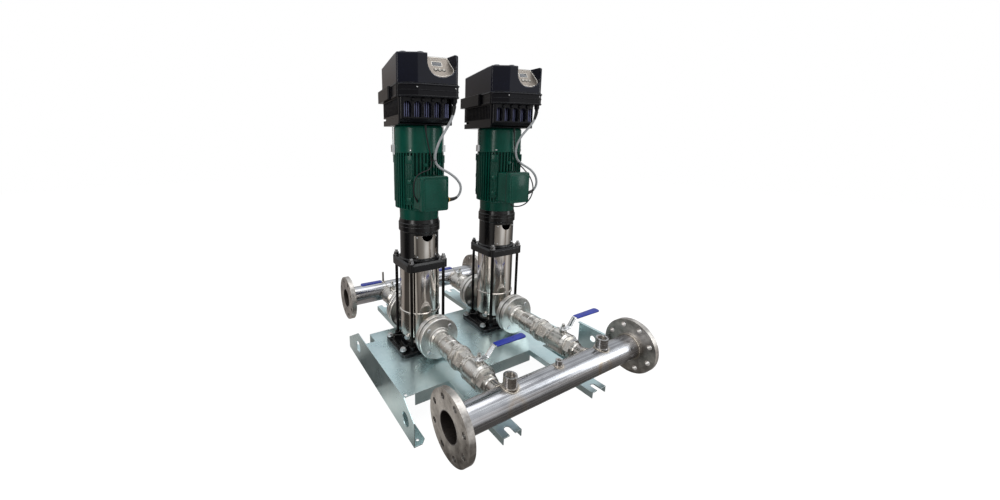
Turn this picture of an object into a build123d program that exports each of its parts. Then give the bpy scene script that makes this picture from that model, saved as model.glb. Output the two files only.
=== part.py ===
from build123d import *
import os
from math import atan2, cos, degrees, hypot, pi, radians, sin, tan

# Booster pump set: two vertical in-line multistage pumps between a discharge and a suction manifold,
# on a folded sheet base. X runs along the manifolds, the discharge side is -Y, and Z is up.
# The origin lies on the floor, at the centre of the four anchor holes. All sizes are in millimetres.

# Set
pump_pitch = 386.0
plate_height = 132.0
port_height = 90.0
axis_height = plate_height + port_height
sides = {"left": -pump_pitch / 2, "right": pump_pitch / 2}
running_gap = 0.05
seat_gap = 0.1
free_gap = 0.3
cut_height = 999.0

# Pump ports, nominal size 50
port_face = 145.0
port_radius = 30.15
port_bore = 26.5
port_collar_radius = 51.0
port_collar = 4.0
gasket_thickness = 2.0
port_flange_radius = 82.5
port_flange_thickness = 18.0
port_bolt_circle = 125.0
port_bolt_radius = 8.0
bolt_clearance = 1.0
port_bolt_head = 10.0
port_bolt_tip = 3.0
port_bolt_flats = 24.0
flange_hub = 12.0
hub_radius = 37.0
line_step_radius = 47.0
hub_face = port_face + gasket_thickness + port_flange_thickness + flange_hub

# Screwed line fittings
thread_radius = 24.15
thread_bore = 21.0
adapter_radius = 31.0
thread_depth = 16.0
valve_thread_depth = 10.0
check_adapter = 35.0
check_length = 90.0
check_start = hub_face + check_adapter
check_end = check_start + check_length
check_radius = 38.0
check_flats = 68.0
check_hex = 15.0
check_cavity = 26.0
check_seat = 18.0
check_disc_radius = 22.0
check_disc = 4.0
check_guide_radius = 4.0
check_travel = 12.0
union_ring = 16.0
union_ring_radius = 43.0
union_flats = 68.0
union_length = 38.0
bush_flats = 64.0
bush_length = 36.0
suction_adapter = 41.0

# Ball valve, along its bore from the stem
valve_radius = 43.0
valve_neck_radius = 33.0
valve_flats = 66.0
valve_back = 78.0
valve_hex = 16.0
valve_front = 34.0
ball_radius = 30.0
ball_bore = 21.0
stem_radius = 7.0
stem_tip_radius = 6.0
stem_collar_radius = 13.0
stem_collar_top = 53.0
stem_top = 75.0
lever_sheet = 3.0
lever_width = 22.0
lever_rise = 32.0
lever_rise_run = 26.0
lever_heel = 14.0
lever_nut_flats = 17.0
lever_nut = 8.0
grip_width = 28.0
grip_thickness = 8.0
lever_reaches = {"discharge": 190.0, "suction": 152.0}
grip_lengths = {"discharge": 127.0, "suction": 98.0}
discharge_stem = check_end + union_length + valve_back
suction_stem = hub_face + suction_adapter + valve_back

# Manifolds, nominal size 80
pipe_radius = 44.45
pipe_wall = 3.0
discharge_branch = 73.0
suction_branch = 57.0
discharge_reach = discharge_stem + valve_front + bush_length + discharge_branch
discharge_left = -394.0
discharge_right = 410.0
suction_reach = suction_stem + valve_front + suction_branch
suction_left = -390.0
suction_right = 356.0
manifold_flange_radius = 100.0
manifold_flange_thickness = 20.0
manifold_bolt_circle = 160.0
manifold_bolt_count = 8
manifold_bolt_hole = 9.0
weld_hub = 6.0
socket_radius = 21.0
socket_bore = 15.2
socket_reach = 81.0
socket_places = [-186.0, 224.0]
small_socket_radius = 11.0
small_socket_bore = 6.6
small_socket_reach = 64.0
small_socket_place = 15.0
gauge_radius = 5.0
gauge_reach = 96.0
gauge_place = -203.0

# Folded sheet base
sheet = 3.0
base_width = 800.0
plate_front = -288.0
plate_back = 160.0
lip_depth = 46.0
notch_width = 43.0
notch_depth = 66.0
relief_radius = 6.0
relief_inset = 9.0
cheek_front = -365.0
cheek_back = 330.0
cheek_front_height = 88.0
cheek_back_height = 52.0
cheek_back_slope = 195.0
cheek_hole_radius = 25.0
cheek_holes = [(-301.0, 59.0), (193.0, 69.0)]
foot_flange = 46.0
foot_flange_chamfer = 16.0
anchor_radius = 5.5
anchor_inset = 22.5
arm_width = 70.0
front_arm_beyond = 29.0
back_arm_beyond = 25.0
arm_front = -(discharge_reach + front_arm_beyond)
arm_back = suction_reach + back_arm_beyond
arm_flange = 22.0
arm_slot_width = 21.0
arm_slot_depth = 33.0

# Upright bracket on the right cheek
bracket_gap = 9.0
bracket_front = manifold_flange_radius + bracket_gap - discharge_reach
bracket_back = cheek_holes[0][0] - cheek_hole_radius - 2.0
bracket_low = 64.0
bracket_top = 214.0
bracket_fold = 12.0
bracket_hole_radius = 13.0
bracket_hole = (bracket_front + 54.0, 166.0)

# Pump
foot_length = 236.0
foot_width = 182.0
foot_slab = 14.0
foot_height = 34.0
foot_corner = 20.0
foot_bolt_x = foot_length / 2 - 10.5
foot_bolt_y = foot_width / 2 - 26.0
foot_bolt_radius = 6.0
foot_boss_radius = 18.0
foot_boss_height = 24.0
volute_radius = 79.0
volute_wall = 3.0
volute_low_radius = volute_radius - 13.0
volute_flare = plate_height + 58.0
bead_height = 10.0
bead_low = axis_height + 64.0
bead_high = bead_low + bead_height
bead_stand = 4.0
drain_radius = 9.0
drain_height = plate_height + 58.0
drain_bearing = 205.0
drain_plug_flats = 15.0
drain_plug_head = 9.0
sleeve_wall = 2.0
stage_count = 3
stage_height = 46.0
stage_wall = 3.0
stage_low = bead_high + 4.0
spacer_height = 32.0
head_low = stage_low + stage_count * stage_height + stage_wall + spacer_height
head_thickness = 32.0
head_size = 172.0
head_corner = 27.0
head_chamfer = 7.0
rod_offset = head_size / 2 - 16.0
rod_radius = 6.0
rod_clearance = 0.4
rod_nut_flats = 19.0
rod_nut = 10.0
rod_washer_radius = 12.0
rod_washer = 2.5
rod_tail = 8.0
stage_radius = volute_radius - 6.0
impeller_radius = stage_radius - 19.0
impeller_thickness = 16.0
shaft_radius = 9.0

# Motor stool and coupling
stool_radius = 76.0
stool_wall = 8.0
stool_height = 135.0
stool_ring_radius = 81.0
stool_ring = 18.0
stool_foot_ring = 9.0
window_angle = 86.0
window_low = 12.0
window_high = 103.0
guard_sheet = 1.0
guard_notch = 24.0
guard_recess = 2.5
coupling_radius = 30.0
coupling_length = 60.0
coupling_low = head_low + head_thickness + 40.0
coupling_high = coupling_low + coupling_length

# Motor
motor_low = head_low + head_thickness + stool_height
motor_flange = 14.0
motor_flange_cone = 14.0
shield_radius = 75.0
shield_height = 44.0
stator_length = 205.0
stator_low = motor_low + motor_flange + motor_flange_cone + shield_height
stator_high = stator_low + stator_length
stator_core = 80.0
fin_radius = 92.0
fin_count = 44
fin_root = 0.58
pad_width = 30.0
pad_radius = fin_radius + 1.5
pad_bearings = [-139.0, -41.0, 49.0, 139.0]
stator_bore = 56.0
rotor_core = 55.0
motor_shaft = 12.0
cover_height = 97.0
cover_high = stator_high + cover_height
cover_wall = 1.6
cover_crown = 8.0
cover_hole = 58.0
fan_radius = fin_radius - 14.0
fan_height = 28.0
fan_low = stator_high + 17.0
fan_high = fan_low + fan_height
fan_blades = 6

# Terminal box
box_left = -66.0
box_right = 40.0
box_height = 123.0
box_depth = 52.0
box_lid_depth = 20.0
box_low = stator_low + 4.0
box_high = box_low + box_height
box_back = -(stator_core + 4.0)
box_joint = box_back - box_depth
box_front = box_joint - box_lid_depth
box_corner = 7.0
gland_height = box_low + 33.0
gland_length = 22.0
gland_reach = box_right + gland_length
gland_depth = box_joint + 11.0
gland_flats = 22.0
gland_collar_radius = 9.0

# Inverter
inverter_turn = -11.0
inverter_offset = (-7.0, -8.0)
lid_half_width = 105.0
lid_front = -147.0
lid_back = 147.0
duct_height = 87.0
rim_height = 43.0
lid_height = 96.0
rim_low = cover_high + duct_height
lid_low = rim_low + rim_height
lid_top = lid_low + lid_height
lid_back_drop = 10.0
lid_corner = 16.0
rim_stand = 2.0
ledge_stand = 11.0
ledge_front = -40.0
ledge_back = lid_back + 11.0
duct_half_width = lid_half_width - 6.0
duct_front = lid_front + 19.0
duct_back = lid_back + 3.0
duct_wall = 5.0
duct_taper = 20.0
duct_corner = 14.0
duct_corner_cut = 32.0
duct_gland = (duct_half_width - 5.0, duct_front - 2.0)
duct_gland_length = 23.0
window_width = 24.0
window_pitch = 35.0
window_count = 5
sink_fins = 9
lid_facet_end = -40.0
lid_facet_depth = 23.0
lid_facet_corner = 7.0
lid_top_radius = 5.0
lid_roof_break = lid_front + 67.0
lid_cap_places = [(-80.0, lid_front + 35.0), (-26.0, lid_front + 19.0)]
lid_cap_radius = 11.0
lid_cap_height = 3.0
panel_height = 77.0
panel_depth = 57.0
panel_low = lid_top - panel_height
panel_back = lid_front + panel_depth
panel_foot_curve = [(-6.0, 40.0), (2.0, 20.0), (20.0, 7.0), (44.0, 3.0), (72.0, 9.0), (90.0, 22.0), (95.0, 40.0)]
panel_lean = 0.28
panel_sheet = 1.6
panel_gap = 1.0
panel_top_margin = 3.0
screen_place = (19.0, 53.0, 52.0, 70.0)
key_places = [("minus_key", 27.0), ("plus_key", 41.5), ("set_key", 56.0)]
key_row = 35.0
key_radius = 4.6
key_stand = 2.4
key_travel = 1.0
key_depth = 5.0

# Cables
power_cable_radius = 4.5
signal_cable_radius = 2.5


def cylinder_z(radius, low, high, x=0.0, y=0.0):
    return Pos(x, y, (low + high) / 2) * Cylinder(radius, high - low)


def cylinder_y(radius, start, end, x=0.0, z=0.0):
    return Pos(x, (start + end) / 2, z) * Rot(90, 0, 0) * Cylinder(radius, end - start)


def cylinder_x(radius, start, end, y=0.0, z=0.0):
    return Pos((start + end) / 2, y, z) * Rot(0, 90, 0) * Cylinder(radius, end - start)


def block(x0, x1, y0, y1, z0, z1):
    return Pos((x0 + x1) / 2, (y0 + y1) / 2, (z0 + z1) / 2) * Box(x1 - x0, y1 - y0, z1 - z0)


def hexagon(flats, low, high):
    return Pos(0, 0, low) * extrude(RegularPolygon(flats / 2 / cos(radians(30)), 6), high - low)


def turned(points):
    """Revolve a closed outline of (radius, height) points about Z."""
    outline = Polyline(*[(radius, 0, height) for radius, height in points], close=True)
    return revolve(make_face(outline), Axis.Z)


def upright(solid):
    """Lay a piece that was made along Z along +Y."""
    return Rot(-90, 0, 0) * solid


def prism_x(points, start, end):
    """Extrude a closed outline of (y, z) points along X."""
    outline = Polyline(*[(start, y, z) for y, z in points], close=True)
    return extrude(make_face(outline), end - start, dir=(1, 0, 0))


def parallel_edges(solid, axis):
    return solid.edges().filter_by(axis)


def solids_of(*shapes):
    found = []
    for shape in shapes:
        found += list(shape.solids())
    return found


def save(name, *shapes):
    """Write one node's solids to its file, moved from the pump axes to the anchor holes' centre."""
    pump_axis_place = -(cheek_front + cheek_back) / 2
    solids = solids_of(*[Pos(0, pump_axis_place, 0) * shape for shape in shapes])
    whole = solids[0] if len(solids) == 1 else Compound(children=solids)
    export_step(whole, f"parts/{name}.step")


def on_pumps(make):
    """Copy a pump piece onto both pump axes."""
    return [Pos(place, 0, 0) * make for place in sides.values()]


def on_line(side, stem_side, piece):
    """Place a piece of a screwed line, which is made along +Y from the pump axis."""
    turn = 180 if stem_side == "discharge" else 0
    return Pos(sides[side], 0, axis_height) * Rot(0, 0, turn) * piece


# Base

def arm(place):
    half = arm_width / 2
    web = block(place - half, place + half, arm_front, arm_back, plate_height - sheet, plate_height)
    for edge in (place - half, place + half - sheet):
        for start, end in ((arm_front, plate_front), (plate_back, arm_back)):
            web += block(edge, edge + sheet, start, end, plate_height - arm_flange, plate_height)
    slot_half = arm_slot_width / 2
    for tip, inward in ((arm_front, 1), (arm_back, -1)):
        root = tip + inward * (arm_slot_depth - slot_half)
        web -= block(place - slot_half, place + slot_half, min(tip, root), max(tip, root), 0, plate_height)
        web -= cylinder_z(slot_half, 0, plate_height, place, root)
    return web


def cheek():
    outline = [
        (cheek_front, 0),
        (cheek_back, 0),
        (cheek_back, cheek_back_height),
        (cheek_back_slope, plate_height),
        (plate_front, plate_height),
        (cheek_front, cheek_front_height),
    ]
    outer = -base_width / 2
    wall = prism_x(outline, outer, outer + sheet)
    for along, height in cheek_holes:
        wall -= cylinder_x(cheek_hole_radius, outer - sheet, outer + 2 * sheet, along, height)
    inner = outer + foot_flange
    cut = foot_flange_chamfer
    flange_outline = [
        (outer, cheek_front),
        (inner - cut, cheek_front),
        (inner, cheek_front + cut),
        (inner, cheek_back - cut),
        (inner - cut, cheek_back),
        (outer, cheek_back),
    ]
    flange = extrude(make_face(Polyline(*[(x, y, 0) for x, y in flange_outline], close=True)), sheet)
    for along in (cheek_front + anchor_inset, cheek_back - anchor_inset):
        flange -= cylinder_z(anchor_radius, -sheet, 2 * sheet, outer + foot_flange / 2, along)
    return wall + flange


def front_lip(edge_y):
    """The folded front or back edge, open where the arms pass."""
    half = base_width / 2
    low = plate_height - lip_depth
    lip = block(-half + notch_width, half - notch_width, edge_y, edge_y + sheet, low, plate_height)
    for place in sides.values():
        inside = arm_width / 2 - sheet
        lip -= block(place - inside, place + inside, edge_y - 1, edge_y + sheet + 1, 0, plate_height - sheet)
    return lip


def base_frame():
    half = base_width / 2
    plate = block(-half, half, plate_front, plate_back, plate_height - sheet, plate_height)
    for edge in (-half + sheet, half - notch_width):
        plate -= block(edge, edge + notch_width - sheet, plate_back - notch_depth, plate_back, 0, cut_height)
    for corner in (-half + sheet + relief_inset, half - sheet - relief_inset):
        plate -= cylinder_z(relief_radius, 0, cut_height, corner, plate_front + relief_inset)
    for place in sides.values():
        for x, y in foot_bolt_places():
            plate -= cylinder_z(foot_bolt_radius + bolt_clearance, 0, cut_height, place + x, y)
    left = cheek()
    frame = plate + left + mirror(left, Plane.YZ)
    frame += front_lip(plate_front) + front_lip(plate_back - sheet)
    for place in sides.values():
        frame += arm(place)
    return frame


def foot_bolt_places():
    return [(sx * foot_bolt_x, sy * foot_bolt_y) for sx in (-1, 1) for sy in (-1, 1)]


def side_bracket():
    outer = base_width / 2
    wall = block(outer, outer + sheet, bracket_front, bracket_back, bracket_low, bracket_top)
    wall += block(outer + sheet - bracket_fold, outer + sheet, bracket_front, bracket_back,
                  bracket_top - sheet, bracket_top)
    along, height = bracket_hole
    wall -= cylinder_x(bracket_hole_radius, outer - 1, outer + sheet + 1, along, height)
    return wall


# Manifolds

def line_end(stem_side):
    """How far from the pump axis the screwed fittings of a line end."""
    stem = discharge_stem if stem_side == "discharge" else suction_stem
    return stem + valve_front + (bush_length if stem_side == "discharge" else 0)


def manifold(left, right, reach, stem_side):
    bore = pipe_radius - pipe_wall
    body = cylinder_x(pipe_radius, left, right, 0, 0)
    inside = cylinder_x(bore, left - 1, right + 1, 0, 0)
    for place in sides.values():
        depth = thread_depth if stem_side == "discharge" else valve_thread_depth
        start = line_end(stem_side) - depth - reach
        body += cylinder_y(thread_radius, start, 0, place)
        body += cylinder_y(thread_radius + 3, -pipe_radius - 3, 0, place)
        inside += cylinder_y(thread_bore, start - 1, 0, place)
    return body, inside


def discharge_manifold():
    body, inside = manifold(discharge_left, discharge_right, discharge_reach, "discharge")
    fittings = [(place, socket_radius, socket_bore, socket_reach) for place in socket_places]
    fittings.append((small_socket_place, small_socket_radius, small_socket_bore, small_socket_reach))
    for place, radius, bore, reach in fittings:
        body += cylinder_z(radius, 0, reach, place)
        body += cylinder_z(radius + 3, 0, pipe_radius + 3, place)
        inside += cylinder_z(bore, 0, reach + 1, place)
    return Pos(0, -discharge_reach, axis_height) * mirror(body - inside, Plane.XZ)


def suction_manifold():
    body, inside = manifold(suction_left, suction_right, suction_reach, "suction")
    body += cylinder_z(gauge_radius, 0, gauge_reach, gauge_place)
    body += cylinder_z(gauge_radius + 3, 0, pipe_radius + 3, gauge_place)
    return Pos(0, suction_reach, axis_height) * (body - inside)


def manifold_flange():
    """One slip-on flange along +X, its outer face at x = 0."""
    inner = manifold_flange_thickness
    ring = cylinder_x(manifold_flange_radius, 0, inner)
    ring += cylinder_x(pipe_radius + 7, inner, inner + weld_hub)
    ring -= cylinder_x(pipe_radius, -1, inner + weld_hub + 1)
    for k in range(manifold_bolt_count):
        angle = radians((k + 0.5) * 360 / manifold_bolt_count)
        along = manifold_bolt_circle / 2 * cos(angle)
        height = manifold_bolt_circle / 2 * sin(angle)
        ring -= cylinder_x(manifold_bolt_hole, -1, inner + 1, along, height)
    return ring


def manifold_flanges():
    flange = manifold_flange()
    ends = [
        (discharge_left, -discharge_reach, 0),
        (discharge_right, -discharge_reach, 180),
        (suction_left, suction_reach, 0),
        (suction_right, suction_reach, 180),
    ]
    return [Pos(x, y, axis_height) * Rot(0, 0, turn) * flange for x, y, turn in ends]


# Screwed lines, made along +Y with the bore on the Y axis

def port_flange():
    """The loose flange behind the collar of a pump port."""
    back = port_face - port_collar - port_flange_thickness
    ring = cylinder_z(port_flange_radius, back, back + port_flange_thickness)
    ring = chamfer(ring.edges().filter_by(GeomType.CIRCLE), 1.5)
    ring -= cylinder_z(port_radius + free_gap, back - 1, port_face)
    return upright(ring - bolt_holes(back - 1, port_face, bolt_clearance))


def bolt_holes(low, high, clearance):
    holes = []
    for x, y in port_bolt_places():
        holes.append(cylinder_z(port_bolt_radius + clearance, low, high, x, y))
    return holes


def port_bolt_places():
    reach = port_bolt_circle / 2
    return [(reach * cos(radians(a)), reach * sin(radians(a))) for a in (45, 135, 225, 315)]


def line_flange():
    """The screwed flange bolted to the pump port, with its raised hub."""
    back = port_face + gasket_thickness
    front = back + port_flange_thickness
    ring = turned([
        (thread_radius, back),
        (port_flange_radius - 1.5, back),
        (port_flange_radius, back + 1.5),
        (port_flange_radius, front - 2.5),
        (port_flange_radius - 2.5, front),
        (line_step_radius, front),
        (line_step_radius - 2.0, front + 2.0),
        (hub_radius + 3, front + 2.0),
        (hub_radius, front + flange_hub),
        (thread_radius, front + flange_hub),
    ])
    return upright(ring - bolt_holes(back - 1, front + 1, 0))


def gasket():
    ring = cylinder_z(port_collar_radius, port_face, port_face + gasket_thickness)
    return upright(ring - cylinder_z(port_bore, port_face - 1, port_face + gasket_thickness + 1))


def flange_bolts():
    """Bolts from the pump side, screwed into the line flange."""
    low = port_face - port_collar - port_flange_thickness
    high = port_face + gasket_thickness + port_flange_thickness
    bolt = cylinder_z(port_bolt_radius, low, high)
    bolt += turned([
        (0, high),
        (port_bolt_radius, high),
        (port_bolt_radius, high + port_bolt_tip / 2),
        (port_bolt_radius - 1.5, high + port_bolt_tip),
        (0, high + port_bolt_tip),
    ])
    bolt += hexagon(port_bolt_flats, low - port_bolt_head, low)
    return [upright(Pos(x, y, 0) * bolt) for x, y in port_bolt_places()]


def adapter(end):
    """The screwed adapter from the line flange to the first fitting."""
    front = port_face + gasket_thickness + port_flange_thickness + flange_hub
    body = turned([
        (thread_bore, port_face + gasket_thickness + 1),
        (thread_radius, port_face + gasket_thickness + 1),
        (thread_radius, front),
        (adapter_radius - 2, front),
        (adapter_radius, front + 2),
        (adapter_radius, end - 8),
        (adapter_radius - 3, end - 5),
        (adapter_radius - 3, end),
        (thread_radius, end),
        (thread_radius, end + thread_depth - 1),
        (thread_bore, end + thread_depth - 1),
    ])
    return upright(body)


def check_valve():
    """Check valve body with the seat nearest the pump and a bar that guides the disc."""
    outer = turned([
        (0, check_start),
        (check_radius - 3, check_start),
        (check_radius - 3, check_start + check_hex),
        (check_radius, check_start + check_hex + 3),
        (check_radius, check_start + 40),
        (check_radius - 2.5, check_start + 42),
        (check_radius - 2.5, check_start + 46),
        (check_radius, check_start + 48),
        (check_radius, check_end - check_hex - 4),
        (check_radius - 4, check_end - check_hex),
        (0, check_end - check_hex),
    ])
    outer += hexagon(check_flats, check_end - check_hex, check_end)
    seat = check_start + thread_depth + 4
    guide = seat + 34
    outer -= cylinder_z(thread_radius, check_start - 1, check_start + thread_depth)
    outer -= cylinder_z(check_seat, check_start, seat + 1)
    outer -= cylinder_z(check_cavity, seat, check_end - thread_depth)
    outer -= cylinder_z(thread_radius, check_end - thread_depth, check_end + 1)
    bar = block(-check_cavity - 1, check_cavity + 1, -6, 6, guide, guide + 8)
    outer += bar - cylinder_z(check_guide_radius + running_gap, guide - 1, guide + 9)
    return upright(outer)


def check_disc_piece():
    seat = check_start + thread_depth + 4
    disc = cylinder_z(check_disc_radius, seat + seat_gap, seat + check_disc)
    disc += cylinder_z(check_guide_radius, seat + check_disc, seat + 34 + 8 + 2)
    return upright(disc)


def union():
    """Union ring and nut between the check valve and the ball valve."""
    start = check_end
    end = discharge_stem - valve_back
    body = turned([
        (thread_bore, start - thread_depth + 1),
        (thread_radius, start - thread_depth + 1),
        (thread_radius, start),
        (union_ring_radius - 2, start),
        (union_ring_radius, start + 2),
        (union_ring_radius, start + union_ring - 2),
        (union_ring_radius - 5, start + union_ring),
        (thread_radius, start + union_ring),
        (thread_radius, end + thread_depth - 1),
        (thread_bore, end + thread_depth - 1),
    ])
    nut = hexagon(union_flats, start + union_ring, end) - cylinder_z(thread_radius, start, end)
    return upright(body + nut)


def bush():
    """Hexagon bush between the discharge ball valve and the manifold branch."""
    start = discharge_stem + valve_front
    end = start + bush_length
    middle = start + bush_length * 0.6
    body = hexagon(bush_flats, start, middle)
    body += turned([(0, middle), (28.0, middle), (28.0, end - 3), (26.5, end), (0, end)])
    body += cylinder_z(thread_radius, start - valve_thread_depth, start)
    body -= cylinder_z(thread_bore, start - valve_thread_depth - 1, end - thread_depth + 1)
    body -= cylinder_z(thread_radius, end - thread_depth, end + 1)
    return upright(body)


def valve_body():
    """Two-piece ball valve body about its stem, bore along Z, stem along +Y before it is laid down."""
    outer = turned([
        (0, -valve_back + valve_hex),
        (valve_neck_radius, -valve_back + valve_hex),
        (valve_neck_radius, -valve_radius - 4),
        (valve_radius - 3, -valve_radius + 4),
        (valve_radius, -valve_radius + 10),
        (valve_radius, valve_front - 16),
        (valve_radius - 4, valve_front),
        (0, valve_front),
    ])
    outer += hexagon(valve_flats, -valve_back, -valve_back + valve_hex)
    body = upright(outer) + cylinder_z(stem_collar_radius, 0, stem_collar_top)
    body -= upright(cylinder_z(thread_radius, -valve_back - 1, -valve_back + thread_depth))
    body -= upright(cylinder_z(thread_bore, -valve_back, valve_front))
    body -= upright(cylinder_z(thread_radius, valve_front - valve_thread_depth, valve_front + 1))
    body -= Sphere(ball_radius + seat_gap)
    body -= cylinder_z(stem_radius + running_gap, 0, stem_collar_top + 1)
    return body


def valve_ball():
    """Ball and stem, drawn closed, with the bore across the pipe."""
    ball = Sphere(ball_radius) - cylinder_x(ball_bore, -ball_radius, ball_radius)
    ball += cylinder_z(stem_radius, ball_radius - 6, stem_collar_top + free_gap)
    ball += cylinder_z(stem_tip_radius, stem_collar_top, stem_top)
    return ball


def lever_strip(kind):
    """The bent steel lever, pointing along -X."""
    base = stem_collar_top + free_gap
    grip_start = lever_reaches[kind] - grip_lengths[kind]
    bend_out = grip_start - 6
    bend_in = bend_out - lever_rise_run
    top = base + lever_rise
    half = lever_width / 2
    outline = [
        (lever_heel, base),
        (-bend_in, base),
        (-bend_out, top),
        (-lever_reaches[kind] + 5, top),
        (-lever_reaches[kind] + 5, top + lever_sheet),
        (-bend_out - 1, top + lever_sheet),
        (-bend_in - 1, base + lever_sheet),
        (lever_heel, base + lever_sheet),
    ]
    face = make_face(Polyline(*[(x, -half, z) for x, z in outline], close=True))
    strip = extrude(face, lever_width, dir=(0, 1, 0))
    ends = [e for e in parallel_edges(strip, Axis.Z) if e.center().X > 0]
    strip = fillet(ends, half - 1)
    return strip - cylinder_z(stem_tip_radius + seat_gap, base - 1, base + lever_sheet + 1)


def lever_nut_piece():
    low = stem_collar_top + free_gap + lever_sheet
    nut = hexagon(lever_nut_flats, low, low + lever_nut)
    return nut - cylinder_z(stem_tip_radius + seat_gap, low - 1, low + lever_nut + 1)


def lever_grip(kind):
    """Vinyl sleeve over the end of the lever."""
    middle = stem_collar_top + free_gap + lever_rise + lever_sheet / 2
    start = lever_reaches[kind] - grip_lengths[kind]
    half = grip_width / 2
    thick = grip_thickness / 2
    sleeve = block(-lever_reaches[kind], -start, -half, half, middle - thick, middle + thick)
    tip = [e for e in parallel_edges(sleeve, Axis.Z) if e.center().X < -start - 1]
    sleeve = fillet(tip, half * 0.6)
    sleeve = fillet(parallel_edges(sleeve, Axis.X), thick * 0.6)
    gap = seat_gap
    slot = block(-lever_reaches[kind] + 5 - gap, -start + 1, -lever_width / 2 - gap, lever_width / 2 + gap,
                 middle - lever_sheet / 2 - gap, middle + lever_sheet / 2 + gap)
    return sleeve - slot


# Pump pieces about the pump axis

def pump_foot():
    """Cast foot: ribbed slab with four bolt lugs and a raised seat for the casing."""
    low = plate_height
    slab = block(-foot_length / 2, foot_length / 2, -foot_width / 2, foot_width / 2, low, low + foot_slab)
    slab = fillet(parallel_edges(slab, Axis.Z), foot_corner)
    seat = turned([
        (0, low),
        (volute_low_radius + 16, low),
        (volute_low_radius + 8, low + foot_height),
        (0, low + foot_height),
    ])
    body = slab + seat
    for sx in (-1, 1):
        for sy in (-1, 1):
            x, y = sx * foot_bolt_x, sy * foot_bolt_y
            body += turned_boss(foot_boss_radius - 7, foot_boss_radius - 9, low, foot_boss_height, x, y)
            rib = block(0, foot_bolt_x, -4, 4, low, low + foot_slab + 8)
            body += Rot(0, 0, degrees(atan2(y, x))) * rib
            body += cylinder_z(rod_radius + 7, low, low + foot_height, sx * rod_offset, sy * rod_offset)
        edge = sx * (foot_length / 2 - 12)
        body += block(edge - 4, edge + 4, -foot_bolt_y, foot_bolt_y, low, low + foot_slab + 8)
    for sx in (-1, 1):
        for sy in (-1, 1):
            body -= cylinder_z(foot_bolt_radius + bolt_clearance, 0, cut_height, sx * foot_bolt_x, sy * foot_bolt_y)
            body -= cylinder_z(rod_radius, low + 6, cut_height, sx * rod_offset, sy * rod_offset)
    body -= cylinder_z(volute_low_radius, low + foot_slab, cut_height)
    return body


def turned_boss(low_radius, high_radius, low, height, x, y):
    outline = [(0, low), (low_radius, low), (high_radius, low + height), (0, low + height)]
    return Pos(x, y, 0) * turned(outline)


def foot_bolt_set():
    low = plate_height - sheet
    top = plate_height + foot_boss_height
    bolt = cylinder_z(foot_bolt_radius, low - 4, top + 2)
    bolt += cylinder_z(foot_bolt_radius + 7, top, top + 2.5)
    bolt += hexagon(18.0, top + 2.5, top + 10)
    nut = hexagon(18.0, low - 10, low)
    return [Pos(x, y, 0) * (bolt + nut) for x, y in foot_bolt_places()]


def volute():
    """Pressed stainless casing: closed bottom, flare, rolled bead and two in-line ports."""
    low = plate_height + foot_slab
    wall = volute_wall
    outer = turned([
        (0, low),
        (volute_low_radius - 6, low),
        (volute_low_radius, low + 6),
        (volute_low_radius, plate_height + foot_height + 6),
        (volute_radius, volute_flare),
        (volute_radius, bead_low),
        (volute_radius + bead_stand, bead_low + 2),
        (volute_radius + bead_stand, bead_high - 2),
        (volute_radius, bead_high),
        (0, bead_high),
    ])
    for sign in (-1, 1):
        ends = sorted((sign * 40, sign * port_face))
        outer += cylinder_y(port_radius, ends[0], ends[1], 0, axis_height)
        ends = sorted((sign * (port_face - port_collar), sign * port_face))
        outer += cylinder_y(port_collar_radius, ends[0], ends[1], 0, axis_height)
    boss = Pos(0, 0, drain_height) * Rot(0, 0, drain_bearing) * Rot(0, 90, 0)
    outer += boss * Pos(0, 0, (volute_radius + 3) / 2) * Cylinder(drain_radius + 3, volute_radius + 3)
    inside = turned([
        (0, low + wall),
        (volute_low_radius - 6 - wall, low + wall),
        (volute_low_radius - wall, low + 6 + wall),
        (volute_low_radius - wall, plate_height + foot_height + 6),
        (volute_radius - wall, volute_flare + 1),
        (volute_radius - wall, bead_high + 1),
        (0, bead_high + 1),
    ])
    inside += cylinder_y(port_bore, -port_face - 1, port_face + 1, 0, axis_height)
    body = outer - inside
    return body - boss * Pos(0, 0, volute_radius) * Cylinder(drain_radius - 3, 4 * drain_plug_head)


def drain_plug():
    reach = volute_radius + 3
    plug = cylinder_z(drain_radius - 3 - seat_gap, reach - 6, reach)
    plug += hexagon(drain_plug_flats, reach, reach + drain_plug_head)
    return Pos(0, 0, drain_height) * Rot(0, 0, drain_bearing) * Rot(0, 90, 0) * plug


def sleeve():
    return cylinder_z(volute_radius, bead_high, head_low) - cylinder_z(
        volute_radius - sleeve_wall, bead_high - 1, head_low + 1)


def stage_chambers():
    """Stack of stage chambers, closed by diaphragms that clear the impellers."""
    outer = stage_radius
    inner = stage_radius - stage_wall
    eye = shaft_radius + 6
    outline = [(eye, stage_low)]
    for k in range(stage_count):
        low = stage_low + k * stage_height
        outline += [(eye, low + stage_wall), (inner, low + stage_wall), (inner, low + stage_height)]
        outline += [(eye, low + stage_height)]
    top = stage_low + stage_count * stage_height
    outline += [(eye, top + stage_wall), (outer, top + stage_wall), (outer, stage_low)]
    stack = turned(outline)
    spacer = cylinder_z(outer, top + stage_wall, head_low) - cylinder_z(inner, top, head_low + 1)
    foot_ring = cylinder_z(outer, bead_high - 20, stage_low) - cylinder_z(inner - 6, bead_high - 21, stage_low + 1)
    return stack + spacer + foot_ring


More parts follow.
